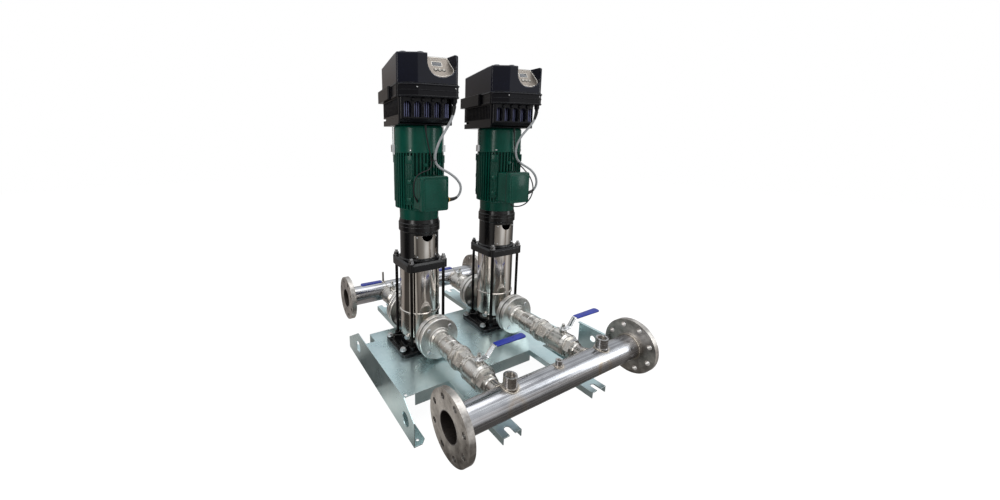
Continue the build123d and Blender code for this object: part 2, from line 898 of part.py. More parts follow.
def pump_rotor():
    """Pump shaft with its impellers."""
    top = coupling_low + (coupling_high - coupling_low) / 2 - 1
    rotor = cylinder_z(shaft_radius, stage_low - 20, top)
    for k in range(stage_count):
        middle = stage_low + (k + 0.5) * stage_height + stage_wall / 2
        rotor += turned([
            (0, middle - impeller_thickness / 2),
            (impeller_radius * 0.4, middle - impeller_thickness / 2),
            (impeller_radius, middle - 3),
            (impeller_radius, middle + 3),
            (impeller_radius * 0.3, middle + impeller_thickness / 2),
            (0, middle + impeller_thickness / 2),
        ])
    return rotor


def pump_head():
    """Cast head: square plate with rounded corners, corner lugs and a bored seal seat."""
    high = head_low + head_thickness
    half = head_size / 2
    plate = block(-half, half, -half, half, head_low, high)
    plate = fillet(parallel_edges(plate, Axis.Z), head_corner)
    top_edges = [e for e in plate.edges() if abs(e.center().Z - high) < 0.01]
    plate = chamfer(top_edges, head_chamfer)
    for sx in (-1, 1):
        for sy in (-1, 1):
            plate += cylinder_z(rod_washer_radius + 2, head_low, high, sx * rod_offset, sy * rod_offset)
    plate -= cylinder_z(shaft_radius + running_gap, head_low - 1, high + 1)
    for sx in (-1, 1):
        for sy in (-1, 1):
            x, y = sx * rod_offset, sy * rod_offset
            plate -= cylinder_z(rod_radius + rod_clearance, head_low - 1, high + 1, x, y)
    return plate


def tie_rod_set():
    high = head_low + head_thickness
    rod = cylinder_z(rod_radius, plate_height + 6, high + rod_washer + rod_nut + rod_tail)
    rod += cylinder_z(rod_washer_radius, high, high + rod_washer)
    rod += hexagon(rod_nut_flats, high + rod_washer, high + rod_washer + rod_nut)
    places = [(sx * rod_offset, sy * rod_offset) for sx in (-1, 1) for sy in (-1, 1)]
    return [Pos(x, y, 0) * rod for x, y in places]


def sector(radius, low, high, bearing, angle):
    """A wedge about Z, for cutting windows in a round wall."""
    half = radians(angle / 2)
    reach = radius / cos(half)
    corners = [(0, 0), (reach * cos(-half), reach * sin(-half)), (reach * cos(half), reach * sin(half))]
    wedge = extrude(make_face(Polyline(*[(x, y, low) for x, y in corners], close=True)), high - low)
    return Rot(0, 0, bearing) * wedge


def motor_stool():
    """Cast lantern with a foot ring, two windows and the ring that carries the motor."""
    low = head_low + head_thickness
    high = low + stool_height
    inner = stool_radius - stool_wall
    body = turned([
        (inner, low),
        (stool_radius + 4, low),
        (stool_radius + 4, low + stool_foot_ring - 3),
        (stool_radius, low + stool_foot_ring),
        (stool_radius, high - stool_ring - 5),
        (stool_ring_radius, high - stool_ring),
        (stool_ring_radius, high - 1),
        (stool_ring_radius - 1, high),
        (inner, high),
    ])
    for bearing in (-90, 90):
        body -= sector(stool_radius * 1.5, low + window_low, low + window_high, bearing, window_angle)
    return body


def motor_flange_piece():
    """Black flange of the motor, with the cone up to the lower shield."""
    low = motor_low
    high = motor_low + motor_flange
    return turned([
        (motor_shaft + running_gap, low),
        (stool_ring_radius, low),
        (stool_ring_radius, high - 2),
        (stool_ring_radius - 2, high),
        (shield_radius + 1, high + motor_flange_cone),
        (motor_shaft + running_gap, high + motor_flange_cone),
    ])


def coupling_guard():
    """Two curved sheet guards in the stool's windows, notched at the top."""
    low = head_low + head_thickness + window_low
    high = head_low + head_thickness + window_high
    outer = stool_radius - guard_recess
    ring = cylinder_z(outer, low, high) - cylinder_z(outer - guard_sheet, low - 1, high + 1)
    guards = []
    for bearing in (-90, 90):
        guard = ring & sector(outer * 1.5, low, high, bearing, window_angle)
        notch = Rot(0, 0, bearing) * cylinder_x(guard_notch, 0, outer + 5, 0, high)
        guards.append(guard - notch)
    return guards


def coupling():
    """Split clamp coupling on the two shaft ends."""
    body = cylinder_z(coupling_radius, coupling_low, coupling_high)
    middle = (coupling_low + coupling_high) / 2
    body -= cylinder_z(shaft_radius, coupling_low - 1, middle - 1)
    body -= cylinder_z(motor_shaft, middle, coupling_high + 1)
    for height in (coupling_low + 15, coupling_high - 15):
        for across in (-20, 20):
            body -= cylinder_y(5.0, 14, 40, across, height)
            body -= cylinder_y(5.0, -40, -14, across, height)
    return body


# Motor

def stator_housing():
    """Finned stator housing with its lower and upper shields and four mounting pads."""
    low = motor_low + motor_flange + motor_flange_cone
    outline = turned([
        (0, low),
        (shield_radius, low),
        (shield_radius + 1, stator_low - 6),
        (stator_core, stator_low),
        (stator_core, stator_high),
        (0, stator_high),
    ])
    pitch = 2 * pi / fin_count
    points = []
    for k in range(fin_count):
        start = k * pitch
        for share, radius in ((0, fin_radius), (1 - fin_root, fin_radius), (1 - fin_root, stator_core - 1)):
            points.append((radius * cos(start + share * pitch), radius * sin(start + share * pitch)))
        points.append((
            (stator_core - 1) * cos(start + pitch),
            (stator_core - 1) * sin(start + pitch),
        ))
    fins = Pos(0, 0, stator_low) * extrude(Polygon(*points, align=None), stator_high - stator_low)
    body = outline + fins
    for bearing in pad_bearings:
        pad = block(stator_core - 8, pad_radius, -pad_width / 2, pad_width / 2, stator_low + 18, stator_high - 12)
        body += Rot(0, 0, bearing) * pad
    body += block(box_left + 8, box_right - 8, box_back, -60, box_low + 10, box_high - 10)
    body -= block(box_left + 1, box_right - 1, box_joint, box_back, box_low, box_high)
    body -= cylinder_z(stator_bore, low + 26, stator_high - 20)
    body -= cylinder_z(motor_shaft + running_gap, low - 1, stator_high + 1)
    return body


def motor_rotor():
    """Motor shaft with the rotor core and the cooling fan."""
    low = (coupling_low + coupling_high) / 2 + 1
    rotor = cylinder_z(motor_shaft, low, fan_high + 4)
    rotor += cylinder_z(rotor_core, stator_low, stator_high - 30)
    rotor += cylinder_z(motor_shaft + 14, fan_low, fan_high)
    for k in range(fan_blades):
        blade = block(motor_shaft, fan_radius, -1.5, 1.5, fan_low, fan_high)
        rotor += Rot(0, 0, k * 360 / fan_blades) * blade
    rotor += cylinder_z(fan_radius * 0.8, fan_low, fan_low + 3)
    return rotor


def fan_cover():
    outer = fin_radius + 0.5
    cover = turned([
        (outer - cover_wall, stator_high),
        (outer, stator_high),
        (outer, cover_high - cover_crown),
        (outer - cover_crown * 0.3, cover_high - cover_crown * 0.3),
        (outer - cover_crown, cover_high),
        (cover_hole, cover_high),
        (cover_hole, cover_high - cover_wall),
        (outer - cover_crown, cover_high - cover_wall),
        (outer - cover_wall, cover_high - cover_crown),
    ])
    return cover


def terminal_box():
    """Terminal box body and its lid."""
    body = block(box_left + 2, box_right - 2, box_joint, box_back, box_low + 2, box_high - 2)
    body = fillet(parallel_edges(body, Axis.Y), box_corner)
    lid = block(box_left, box_right, box_front, box_joint, box_low, box_high)
    lid = fillet(parallel_edges(lid, Axis.Y), box_corner)
    front = [e for e in lid.edges() if abs(e.center().Y - box_front) < 0.01]
    return [body, fillet(front, 4.0)]


def cable_gland():
    """Brass gland on the right wall of the terminal box, bored for the power cable."""
    start = box_right - 2
    gland = hexagon(gland_flats, start, start + 7)
    gland += cylinder_z(gland_collar_radius, start + 7, start + 10)
    gland += hexagon(gland_flats - 2, start + 10, start + 17)
    gland += turned([
        (0, start + 17),
        (gland_collar_radius, start + 17),
        (power_cable_radius + 2, gland_reach),
        (0, gland_reach),
    ])
    gland = Rot(0, 90, 0) * gland
    return Pos(0, gland_depth, gland_height) * gland


# Inverter, in its own frame: turned and set a little off the motor axis

def on_inverter(piece):
    x, y = inverter_offset
    return Pos(x, y, 0) * Rot(0, 0, inverter_turn) * piece


def panel_frame():
    """Plane of the sloping keypad recess, x across and y up the slope."""
    rise = lid_top - panel_low
    run = panel_back - lid_front
    slope = Vector(0, run, rise).normalized()
    across = Vector(1, 0, 0)
    return Plane(origin=(0, lid_front, panel_low), x_dir=across, z_dir=across.cross(slope))


def slope_length():
    return hypot(lid_top - panel_low, panel_back - lid_front)


def inverter_plan(stand):
    """Plan of the lid and its rim, with a shallow facet at the front left, widened by stand."""
    half = lid_half_width + stand
    front = lid_front - stand
    back = lid_back + stand
    corners = [
        (-half, back),
        (-half, front + lid_facet_depth),
        (lid_facet_end, front),
        (half, front),
        (half, back),
    ]
    return make_face(Polyline(*[(x, y, 0) for x, y in corners], close=True))


def rounded_plan(solid):
    """Round the plan's corners, the facet's edges less than the others."""
    solid = fillet([e for e in parallel_edges(solid, Axis.Z) if not on_facet(e)], lid_corner)
    return fillet([e for e in parallel_edges(solid, Axis.Z) if on_facet(e)], lid_facet_corner)


def on_facet(edge):
    place = edge.center()
    return place.Y < 0 and (place.X < -lid_half_width + 5 or abs(place.X - lid_facet_end) < 1)


def panel_outline(top, gap=0.0):
    """Shield outline on the panel plane: curved foot, straight left side and leaning right side."""
    foot_top = panel_foot_curve[0][1]
    middle = (panel_foot_curve[0][0] + panel_foot_curve[-1][0]) / 2
    half = panel_foot_curve[-1][0] - middle
    wider = 1 + gap / half
    foot = [(middle + (x - middle) * wider, foot_top + (y - foot_top) * wider) for x, y in panel_foot_curve]
    left = foot[0][0]
    right = foot[-1][0]
    lean = panel_lean * (top - foot_top)
    sides_and_top = Polyline((right, foot_top), (right - lean, top), (left, top), (left, foot_top))
    return make_face(Spline(*foot) + sides_and_top)


def inverter_lid():
    """Moulded lid with a falling roof, rounded corners and a scooped keypad recess."""
    roof = [
        (lid_front - 1, lid_low),
        (lid_back + 1, lid_low),
        (lid_back + 1, lid_top - lid_back_drop),
        (lid_roof_break, lid_top),
        (lid_front - 1, lid_top),
    ]
    lid = Pos(0, 0, lid_low) * extrude(inverter_plan(0), lid_top)
    lid = lid & prism_x(roof, -lid_half_width - 1, lid_half_width + 1)
    lid = rounded_plan(lid)
    top = [e for e in lid.edges() if e.center().Z > lid_top - lid_back_drop - 1]
    lid = fillet(top, lid_top_radius)
    frame = panel_frame()
    length = slope_length()
    recess = extrude(panel_outline(length + 20, panel_gap), 90, dir=(0, 0, 1))
    lid -= frame * recess
    cavity = block(-lid_half_width + 8, lid_half_width - 8, lid_front + 28, lid_back - 8, lid_low - 1, panel_low - 6)
    lid -= cavity
    for x, y in lid_cap_places:
        lid += cylinder_z(lid_cap_radius, lid_top - 8, lid_top + lid_cap_height, x, y)
    for name, across in key_places:
        lid -= frame * Pos(across, key_row, 0) * Cylinder(key_radius + free_gap, 2 * key_depth + 4)
    return lid


def keypad_panel():
    """Shield-shaped keypad plate with a screen window and holes for the keys."""
    plate = extrude(panel_outline(slope_length() - panel_top_margin), panel_sheet)
    x0, x1, y0, y1 = screen_place
    plate -= Pos((x0 + x1) / 2, (y0 + y1) / 2, panel_sheet) * Box(x1 - x0, y1 - y0, panel_sheet)
    for name, across in key_places:
        plate -= Pos(across, key_row, 0) * Cylinder(key_radius + free_gap, 4 * panel_sheet)
    return panel_frame() * plate


def key(across):
    """A round key that stands proud of the keypad plate."""
    high = panel_sheet + key_stand
    cap = Pos(across, key_row, (high - key_depth) / 2) * Cylinder(key_radius, high + key_depth)
    return panel_frame() * cap


def inverter_base():
    """Rim, heat sink and the air duct that sits on the fan cover."""
    half = lid_half_width + rim_stand
    rim = rounded_plan(Pos(0, 0, rim_low) * extrude(inverter_plan(rim_stand), lid_low - rim_low))
    ledge = block(-half - ledge_stand, half + ledge_stand, ledge_front, ledge_back, rim_low, lid_low)
    rim += fillet(parallel_edges(ledge, Axis.Z), 5.0)
    bottom = cover_high
    duct = block(-duct_half_width, duct_half_width, duct_front, duct_back, bottom, rim_low)
    front_edges = [e for e in parallel_edges(duct, Axis.Z) if e.center().Y < 0]
    duct = fillet([e for e in front_edges if e.center().X < 0], duct_corner)
    duct = chamfer([e for e in parallel_edges(duct, Axis.Z) if e.center().X > 0 and e.center().Y < -50],
                   duct_corner_cut)
    slope = [
        (duct_front - 1, bottom - 1),
        (duct_front + duct_taper, bottom - 1),
        (duct_front + duct_taper, bottom),
        (duct_front, bottom + duct_taper),
        (duct_front - 1, bottom + duct_taper),
    ]
    duct -= prism_x(slope, -duct_half_width - 1, duct_half_width + 1)
    inside = block(-duct_half_width + duct_wall, duct_half_width - duct_wall, duct_front + duct_wall + 8,
                   duct_back - duct_wall, bottom + 3, rim_low)
    duct -= inside
    duct -= Pos(-inverter_offset[0], -inverter_offset[1], 0) * cylinder_z(cover_hole, bottom - 1, bottom + 4)
    duct -= block(-duct_half_width - 1, -duct_half_width + 9, 100, duct_back + 1, bottom + 20, bottom + 28)
    first = -(window_count - 1) / 2
    for k in range(window_count):
        across = (first + k) * window_pitch
        low, high = bottom + 24, rim_low - 12
        window = block(across - window_width / 2, across + window_width / 2, duct_front - 5,
                       duct_front + duct_wall + 12, low, high - window_width / 2)
        window += cylinder_y(window_width / 2, duct_front - 5, duct_front + duct_wall + 12, across,
                             high - window_width / 2)
        duct -= window
    fins = []
    for k in range(sink_fins):
        across = (k - (sink_fins - 1) / 2) * 20
        fins.append(block(across - 1.5, across + 1.5, duct_front + 30, duct_back - duct_wall - 4,
                          bottom + 30, rim_low))
    x, y = duct_gland
    tip = rim_low - duct_gland_length
    gland = Pos(x, y, 0) * hexagon(gland_flats - 3, tip + 10, rim_low)
    gland += Pos(x, y, 0) * turned([
        (0, tip + 10),
        (gland_collar_radius - 1, tip + 10),
        (power_cable_radius + 1.5, tip),
        (0, tip),
    ])
    return rim + duct + fins + gland


def cover_clips():
    """Tie bars from the inverter to the clamps on the fan cover."""
    pieces = []
    reach = fin_radius + 0.5
    for turn in (0, 180):
        bar = cylinder_z(2.0, stator_high - 14, cover_high - free_gap, reach + 6)
        clamp = block(reach + 1, reach + 12, -8, 8, stator_high + 2, stator_high + 28)
        clamp -= block(reach, reach + 9, -3, 3, stator_high, stator_high + 30)
        hook = block(reach + free_gap, reach + 1.5, -8, 8, stator_high + 2, stator_high + 28)
        pieces.append(Rot(0, 0, inverter_turn + turn) * (bar + clamp + hook + cylinder_z(
            2.5, stator_high + 10, stator_high + 20, reach + 6) + block(
            reach + 1, reach + 9, -3, 3, stator_high + 12, stator_high + 18)))
    return pieces


def corner_radii(points):
    """Arc radius at each corner of a cable's route: 0.45 of the shorter run over tan(half the turn)."""
    radii = []
    for before, here, after in zip(points, points[1:], points[2:]):
        run_in = Vector(*here) - Vector(*before)
        run_out = Vector(*after) - Vector(*here)
        half_turn = radians(run_in.get_angle(run_out)) / 2
        radii.append(0.45 * min(run_in.length, run_out.length) / tan(half_turn))
    return radii


def cable(name, points, radius):
    """A round cable along straight runs joined by tangent arcs."""
    radii = corner_radii(points)
    path = FilletPolyline(*points, radius=radii)
    start = Plane(origin=path @ 0, z_dir=path % 0)
    tube = sweep(start * Circle(radius), path)
    share = tube.volume / (pi * radius**2 * path.length)
    tightest = min(radii) / (2 * radius)
    print(f"{name}: length {path.length:.0f}, volume ratio {share:.4f}, tightest {tightest:.1f} diameters")
    print("   radii", [round(value) for value in radii])
    return tube


# Cable routes about each pump axis, chosen by hand along the real cables, from the inverter to the box

cable_routes = {
    ("power", "left"): [
        (60.5, -153.5, 1078), (59, -153, 1054), (49, -150, 1028), (35, -144, 1000), (19, -135, 970),
        (8, -125, 937), (5, -116, 905), (14, -110, 877), (36, -112, 860), (63, -119, 847),
        (90, -127, 826), (109, -131, 799), (106, -129, 768), (86, -126, 749), (62, -125, 749),
    ],
    ("power", "right"): [
        (60.5, -153.5, 1078), (58, -152, 1056), (45, -148, 1030), (24, -141, 1006), (5, -130, 979),
        (-5, -119, 945), (-2, -111, 911), (14, -109, 884), (38, -110, 868), (64, -116, 855),
        (87, -123, 838), (104, -129, 812), (107, -130, 781), (90, -126, 754), (62, -125, 749),
    ],
    ("signal", "left"): [
        (-27, -107, 1014), (-25, -105, 992), (-17, -103, 958), (-8, -103, 922), (-2, -105, 892),
        (-5, -109, 872), (-21, -115, 857), (-46, -120, 853), (-70, -123, 841), (-81, -123, 818),
        (-82, -121, 792), (-78, -119, 767), (-64, -118, 748),
    ],
    ("signal", "right"): [
        (-10, -106, 1014), (-8, -105, 992), (-3, -102, 957), (5, -101, 921), (16, -100, 893),
        (33, -98, 868), (56, -104, 846), (73, -116, 824), (79, -131, 797), (77, -143, 767),
        (63, -147, 735), (41, -143, 708), (14, -138, 698), (-9, -131, 697), (-25, -126, 703),
        (-30, -124, 718),
    ],
}


def route_ends(kind, side):
    """Where a cable leaves the inverter and where it enters the terminal box."""
    first, last = cable_routes[kind, side][0], cable_routes[kind, side][-1]
    if kind == "power":
        x, y = duct_gland
        gland = on_inverter(Pos(x, y, 0)).position
        start = (round(gland.X * 2) / 2, round(gland.Y * 2) / 2, rim_low - duct_gland_length)
        return start, (gland_reach, gland_depth, gland_height)
    start = (first[0], first[1], cover_high)
    if side == "left":
        return start, (box_left + 2, box_joint + 18.0, box_low + 32.0)
    return start, (last[0], box_joint + 12.0, box_low + 2)


def fitted_route(kind, side):
    """The hand route, carried along with the two pieces that its ends meet."""
    route = cable_routes[kind, side]
    start, end = route_ends(kind, side)
    at_start = Vector(*start) - Vector(*route[0])
    at_end = Vector(*end) - Vector(*route[-1])
    points = []
    for number, point in enumerate(route):
        share = number / (len(route) - 1)
        moved = Vector(*point) + at_start * (1 - share) + at_end * share
        points.append((moved.X, moved.Y, moved.Z))
    return points


def cables(kind, side):
    radius = power_cable_radius if kind == "power" else signal_cable_radius
    return Pos(sides[side], 0, 0) * cable(f"{kind} cable {side}", fitted_route(kind, side), radius)


def on_each_pump(pieces):
    """Copy a list of pump pieces onto both pump axes."""
    return [Pos(place, 0, 0) * piece for place in sides.values() for piece in pieces]


def on_each_line(pieces, stem_sides=("discharge", "suction")):
    """Copy a list of line pieces onto the chosen side of both pumps."""
    return [on_line(side, stem_side, piece) for side in sides for stem_side in stem_sides for piece in pieces]


def on_stem(side, stem_side, piece, turn=0):
    """Place a valve piece that was made about its stem."""
    stem = discharge_stem if stem_side == "discharge" else suction_stem
    return on_line(side, stem_side, Pos(0, stem, 0) * Rot(0, 0, turn) * piece)


def save_base():
    save("base_frame", base_frame())
    save("side_bracket", side_bracket())
    save("discharge_manifold", discharge_manifold())
    save("suction_manifold", suction_manifold())
    save("manifold_flanges", *manifold_flanges())


def save_pumps():
    save("pump_feet", *on_each_pump([pump_foot()]))
    save("foot_bolts", *on_each_pump(foot_bolt_set()))
    save("volutes", *on_each_pump([volute()]))
    save("drain_plugs", *on_each_pump([drain_plug()]))
    save("sleeves", *on_each_pump([sleeve()]))
    save("stage_chambers", *on_each_pump([stage_chambers()]))
    save("pump_heads", *on_each_pump([pump_head()]))
    save("tie_rods", *on_each_pump(tie_rod_set()))
    save("coupling_guards", *on_each_pump(coupling_guard()))
    save("fan_covers", *on_each_pump([fan_cover()]))
    save("terminal_boxes", *on_each_pump(terminal_box()))
    save("cable_glands", *on_each_pump([cable_gland()]))
    save("cover_clips", *on_each_pump(cover_clips()))


def save_each_pump(side):
    place = Pos(sides[side], 0, 0)
    save(f"pump_rotor_{side}", place * pump_rotor())
    save(f"coupling_{side}", place * coupling())
    save(f"motor_rotor_{side}", place * motor_rotor())
    save(f"motor_stool_{side}", place * motor_stool(), place * motor_flange_piece())
    save(f"stator_{side}", place * stator_housing())
    save(f"inverter_base_{side}", place * on_inverter(inverter_base()))
    save(f"inverter_lid_{side}", place * on_inverter(inverter_lid()))
    for name, across in key_places:
        save(f"{name}_{side}", place * on_inverter(key(across)))
    save(f"power_cable_{side}", cables("power", side))
    save(f"signal_cable_{side}", cables("signal", side))


def save_lines():
    save("port_flanges", *on_each_line([port_flange()]))
    save("line_flanges", *on_each_line([line_flange()]))
    save("port_gaskets", *on_each_line([gasket()]))
    save("flange_bolts", *on_each_line(flange_bolts()))
    suction_neck = suction_stem - valve_back
    discharge_nipples = on_each_line([adapter(check_start), union(), bush()], ["discharge"])
    suction_nipples = on_each_line([adapter(suction_neck)], ["suction"])
    save("pipe_nipples", *discharge_nipples, *suction_nipples)
    save("check_valve_bodies", *on_each_line([check_valve()], ["discharge"]))
    bodies = [on_stem(side, kind, valve_body()) for side in sides for kind in ("discharge", "suction")]
    save("ball_valve_bodies", *bodies)
    for side in sides:
        save(f"check_disc_{side}", on_line(side, "discharge", check_disc_piece()))
        for kind in ("discharge", "suction"):
            save(f"{kind}_ball_{side}", on_stem(side, kind, valve_ball()))
            handle = [lever_strip(kind), lever_nut_piece(), lever_grip(kind)]
            save(f"{kind}_lever_{side}", *[on_stem(side, kind, piece) for piece in handle])


def main():
    os.makedirs("parts", exist_ok=True)
    save_base()
    save_pumps()
    save_lines()
    panel = keypad_panel()
    save("keypad_panels", *on_each_pump([on_inverter(panel)]))
    for side in sides:
        save_each_pump(side)


main()
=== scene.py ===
import math

import bmesh
import bpy
from mathutils import Matrix, Vector


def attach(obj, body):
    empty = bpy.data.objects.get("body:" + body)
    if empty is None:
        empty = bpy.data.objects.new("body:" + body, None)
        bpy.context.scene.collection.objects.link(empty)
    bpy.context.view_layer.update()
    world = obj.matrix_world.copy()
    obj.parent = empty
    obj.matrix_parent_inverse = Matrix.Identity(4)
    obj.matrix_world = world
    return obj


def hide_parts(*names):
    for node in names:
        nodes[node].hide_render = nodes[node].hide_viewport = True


# %% [markdown]
# # A booster pump set
# Two upright pumps stand on a folded sheet base between two stainless manifolds, and each pump carries a
# finned green motor with a black speed inverter on top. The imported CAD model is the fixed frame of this
# scene. Blender adds what CAD leaves out: finishes, welds, threads, screws, screens and the hanging cables.

# %% Load the frame
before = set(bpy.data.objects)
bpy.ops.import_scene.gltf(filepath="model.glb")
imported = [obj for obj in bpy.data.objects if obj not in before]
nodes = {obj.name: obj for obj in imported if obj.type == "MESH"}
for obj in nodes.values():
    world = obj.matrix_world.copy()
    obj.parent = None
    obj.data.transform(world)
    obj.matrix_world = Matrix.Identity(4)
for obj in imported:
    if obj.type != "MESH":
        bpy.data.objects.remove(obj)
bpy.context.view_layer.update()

# %% [markdown]
# ## Where things are
# The origin is on the floor, in the middle of the four anchor holes. Both pump axes stand at the same Y, one
# left and one right. The port axes, and with them both manifolds, run at one height. Naming these places
# once lets every later piece be set against the same numbers as the CAD model.

# %% Named places, in metres
PUMPS = {"left": -0.193, "right": 0.193}
PUMP_Y = 0.0175
PORT_Z = 0.222
DISCHARGE_Y = -0.5435
SUCTION_Y = 0.4045
HEAD_TOP = 0.505
LEVER_STEMS = {"discharge": -0.4005, "suction": 0.3135}
INVERTER_TURN = -11
print("pump axes at x =", list(PUMPS.values()), "and y =", PUMP_Y)

# %% [markdown]
# ## The camera
# The photograph was taken with a phone close to the set, from the front left and a little above, so near
# things look large. A short lens close by gives the same strong perspective, which a long lens further off
# can't. The small shift puts the set where it stands in the frame.

# %% Camera at the photograph's place
CAMERA_PLACE = (-0.8347, -1.2612, 0.9590)
CAMERA_RIGHT = Vector((0.85446, -0.51943, 0.00928)).normalized()
CAMERA_UP = Vector((0.0973, 0.17756, 0.97929))


def into_scene(name, data):
    """A new object for some data, linked to the scene."""
    made = bpy.data.objects.new(name, data)
    bpy.context.scene.collection.objects.link(made)
    return made


camera_data = bpy.data.cameras.new("photo_camera")
camera_data.sensor_width = 36.0
camera_data.lens = 13.32
camera_data.shift_x = 0.0506
camera_data.shift_y = -0.0322
camera = into_scene("photo_camera", camera_data)
back = CAMERA_RIGHT.cross(CAMERA_UP).normalized()
turn = Matrix((CAMERA_RIGHT, back.cross(CAMERA_RIGHT), back)).transposed()
camera.matrix_world = Matrix.Translation(CAMERA_PLACE) @ turn.to_4x4()
bpy.context.scene.camera = camera
print("camera at", [round(v, 3) for v in camera.location], "lens", camera_data.lens)

# %% [markdown]
# ## The cables
# A cable is one flexible length, so it is drawn as one smooth NURBS curve with a round section. The points
# are the same as in the CAD model. They are control points, which pull the curve without lying on it, and
# that gives the slow bends of a real cable. The order is set after the points, or the curve would stay a
# row of straight runs.

# %% Cable routes, in millimetres about each pump axis
CABLE_ROUTES = {
    ("power", "left"): [
        (60.5, -153.5, 1078), (59, -153, 1054), (49, -150, 1028), (35, -144, 1000), (19, -135, 970),
        (8, -125, 937), (5, -116, 905), (14, -110, 877), (36, -112, 860), (63, -119, 847),
        (90, -127, 826), (109, -131, 799), (106, -129, 768), (86, -126, 749), (62, -125, 749),
    ],
    ("power", "right"): [
        (60.5, -153.5, 1078), (58, -152, 1056), (45, -148, 1030), (24, -141, 1006), (5, -130, 979),
        (-5, -119, 945), (-2, -111, 911), (14, -109, 884), (38, -110, 868), (64, -116, 855),
        (87, -123, 838), (104, -129, 812), (107, -130, 781), (90, -126, 754), (62, -125, 749),
    ],
    ("signal", "left"): [
        (-27, -107, 1014), (-25, -105, 992), (-17, -103, 958), (-8, -103, 922), (-2, -105, 892),
        (-5, -109, 872), (-21, -115, 857), (-46, -120, 853), (-70, -123, 841), (-81, -123, 818),
        (-82, -121, 792), (-78, -119, 767), (-64, -118, 748),
    ],
    ("signal", "right"): [
        (-10, -106, 1014), (-8, -105, 992), (-3, -102, 957), (5, -101, 921), (16, -100, 893),
        (33, -98, 868), (56, -104, 846), (73, -116, 824), (79, -131, 797), (77, -143, 767),
        (63, -147, 735), (41, -143, 708), (14, -138, 698), (-9, -131, 697), (-25, -126, 703),
        (-30, -124, 718),
    ],
}
CABLE_RADIUS = {"power": 0.0045, "signal": 0.0025}
print("cable routes:", len(CABLE_ROUTES))


# %% Draw one cable
def nurbs_line(name, points, radius):
    """One smooth NURBS curve through the pull of its control points, which carry the section's radius."""
    data = bpy.data.curves.new(name, "CURVE")
    data.dimensions = "3D"
    line = data.splines.new("NURBS")
    line.points.add(len(points) - 1)
    for control, point in zip(line.points, points):
        control.co = (*point, 1.0)
        control.radius = radius
    line.order_u = 3
    line.use_endpoint_u = True
    line.resolution_u = 12
    return into_scene(name, data)


def centre_line(cable):
    """The fine points along a curve that has no section yet."""
    mesh = bpy.data.meshes.new_from_object(cable)
    points = [v.co.copy() for v in mesh.vertices]
    bpy.data.meshes.remove(mesh)
    return points


cables = {}
cable_lines = {}
for (kind, side), route in CABLE_ROUTES.items():
    points = [(PUMPS[side] + x / 1000, PUMP_Y + y / 1000, z / 1000) for x, y, z in route]
    cable = nurbs_line(f"{kind}_cable_line_{side}", points, CABLE_RADIUS[kind])
    line = centre_line(cable)
    cable.data.bevel_depth = 1.0
    cable.data.bevel_resolution = 5
    cable.data.use_fill_caps = True
    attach(cable, "set")
    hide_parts(f"{kind}_cable_{side}")
    cables[kind, side] = cable
    cable_lines[kind, side] = line

# %% [markdown]
# ## Building with nodes
# World, floor and finishes are all node trees. A node's input is either linked to another node or set to a
# plain value, so one helper does both. A socket knows its tree, so most helpers need no tree of their own.


# %% Node helpers
def put(socket, value):
    """Links a socket to another one, or sets its plain value."""
    if isinstance(value, bpy.types.NodeSocket):
        socket.id_data.links.new(value, socket)
    else:
        socket.default_value = value


def add_node(tree, kind, *inputs, **settings):
    """Adds a node with its inputs in order. A setting is a property, or an input by name."""
    node = tree.nodes.new("ShaderNode" + kind)
    for key, value in settings.items():
        if hasattr(node, key):
            setattr(node, key, value)
        else:
            put(node.inputs[key.replace("_", " ")], value)
    for socket, value in zip(node.inputs, inputs):
        put(socket, value)
    return node


def field(tree, kind, *inputs, **settings):
    """The first output of a new node."""
    return add_node(tree, kind, *inputs, **settings).outputs[0]


def empty_tree(owner):
    """The cleared node tree of a world or a material."""
    owner.use_nodes = True
    owner.node_tree.nodes.clear()
    return owner.node_tree


# %% Numbers and colours as nodes
def colour(red, green, blue):
    """A colour as seen on screen, 0 to 255, turned into the linear values that the shader needs."""
    linear = []
    for value in (red, green, blue):
        share = value / 255
        linear.append(share / 12.92 if share <= 0.04045 else ((share + 0.055) / 1.055) ** 2.4)
    return (*linear, 1.0)


def arithmetic(operation, first, *others):
    """A Math node on a socket and more sockets or plain numbers."""
    return field(first.id_data, "Math", first, *others, operation=operation)


def between(factor, low, high, start=0.0, end=1.0):
    """Maps start..end to low..high, clamped."""
    return field(factor.id_data, "MapRange", factor, start, end, low, high)


def tones(factor, *stops):
    """A colour ramp from (place, colour) stops."""
    ramp = add_node(factor.id_data, "ValToRGB", factor)
    elements = ramp.color_ramp.elements
    while len(elements) < len(stops):
        elements.new(0.5)
    for element, (place, tone) in zip(elements, stops):
        element.position = place
        element.color = tone
    return ramp.outputs[0]


def blend_tones(factor, first, second):
    """Mixes two colours, given as sockets or plain colours."""
    mix = add_node(factor.id_data, "Mix", factor, data_type="RGBA")
    put(mix.inputs[6], first)
    put(mix.inputs[7], second)
    return mix.outputs[2]
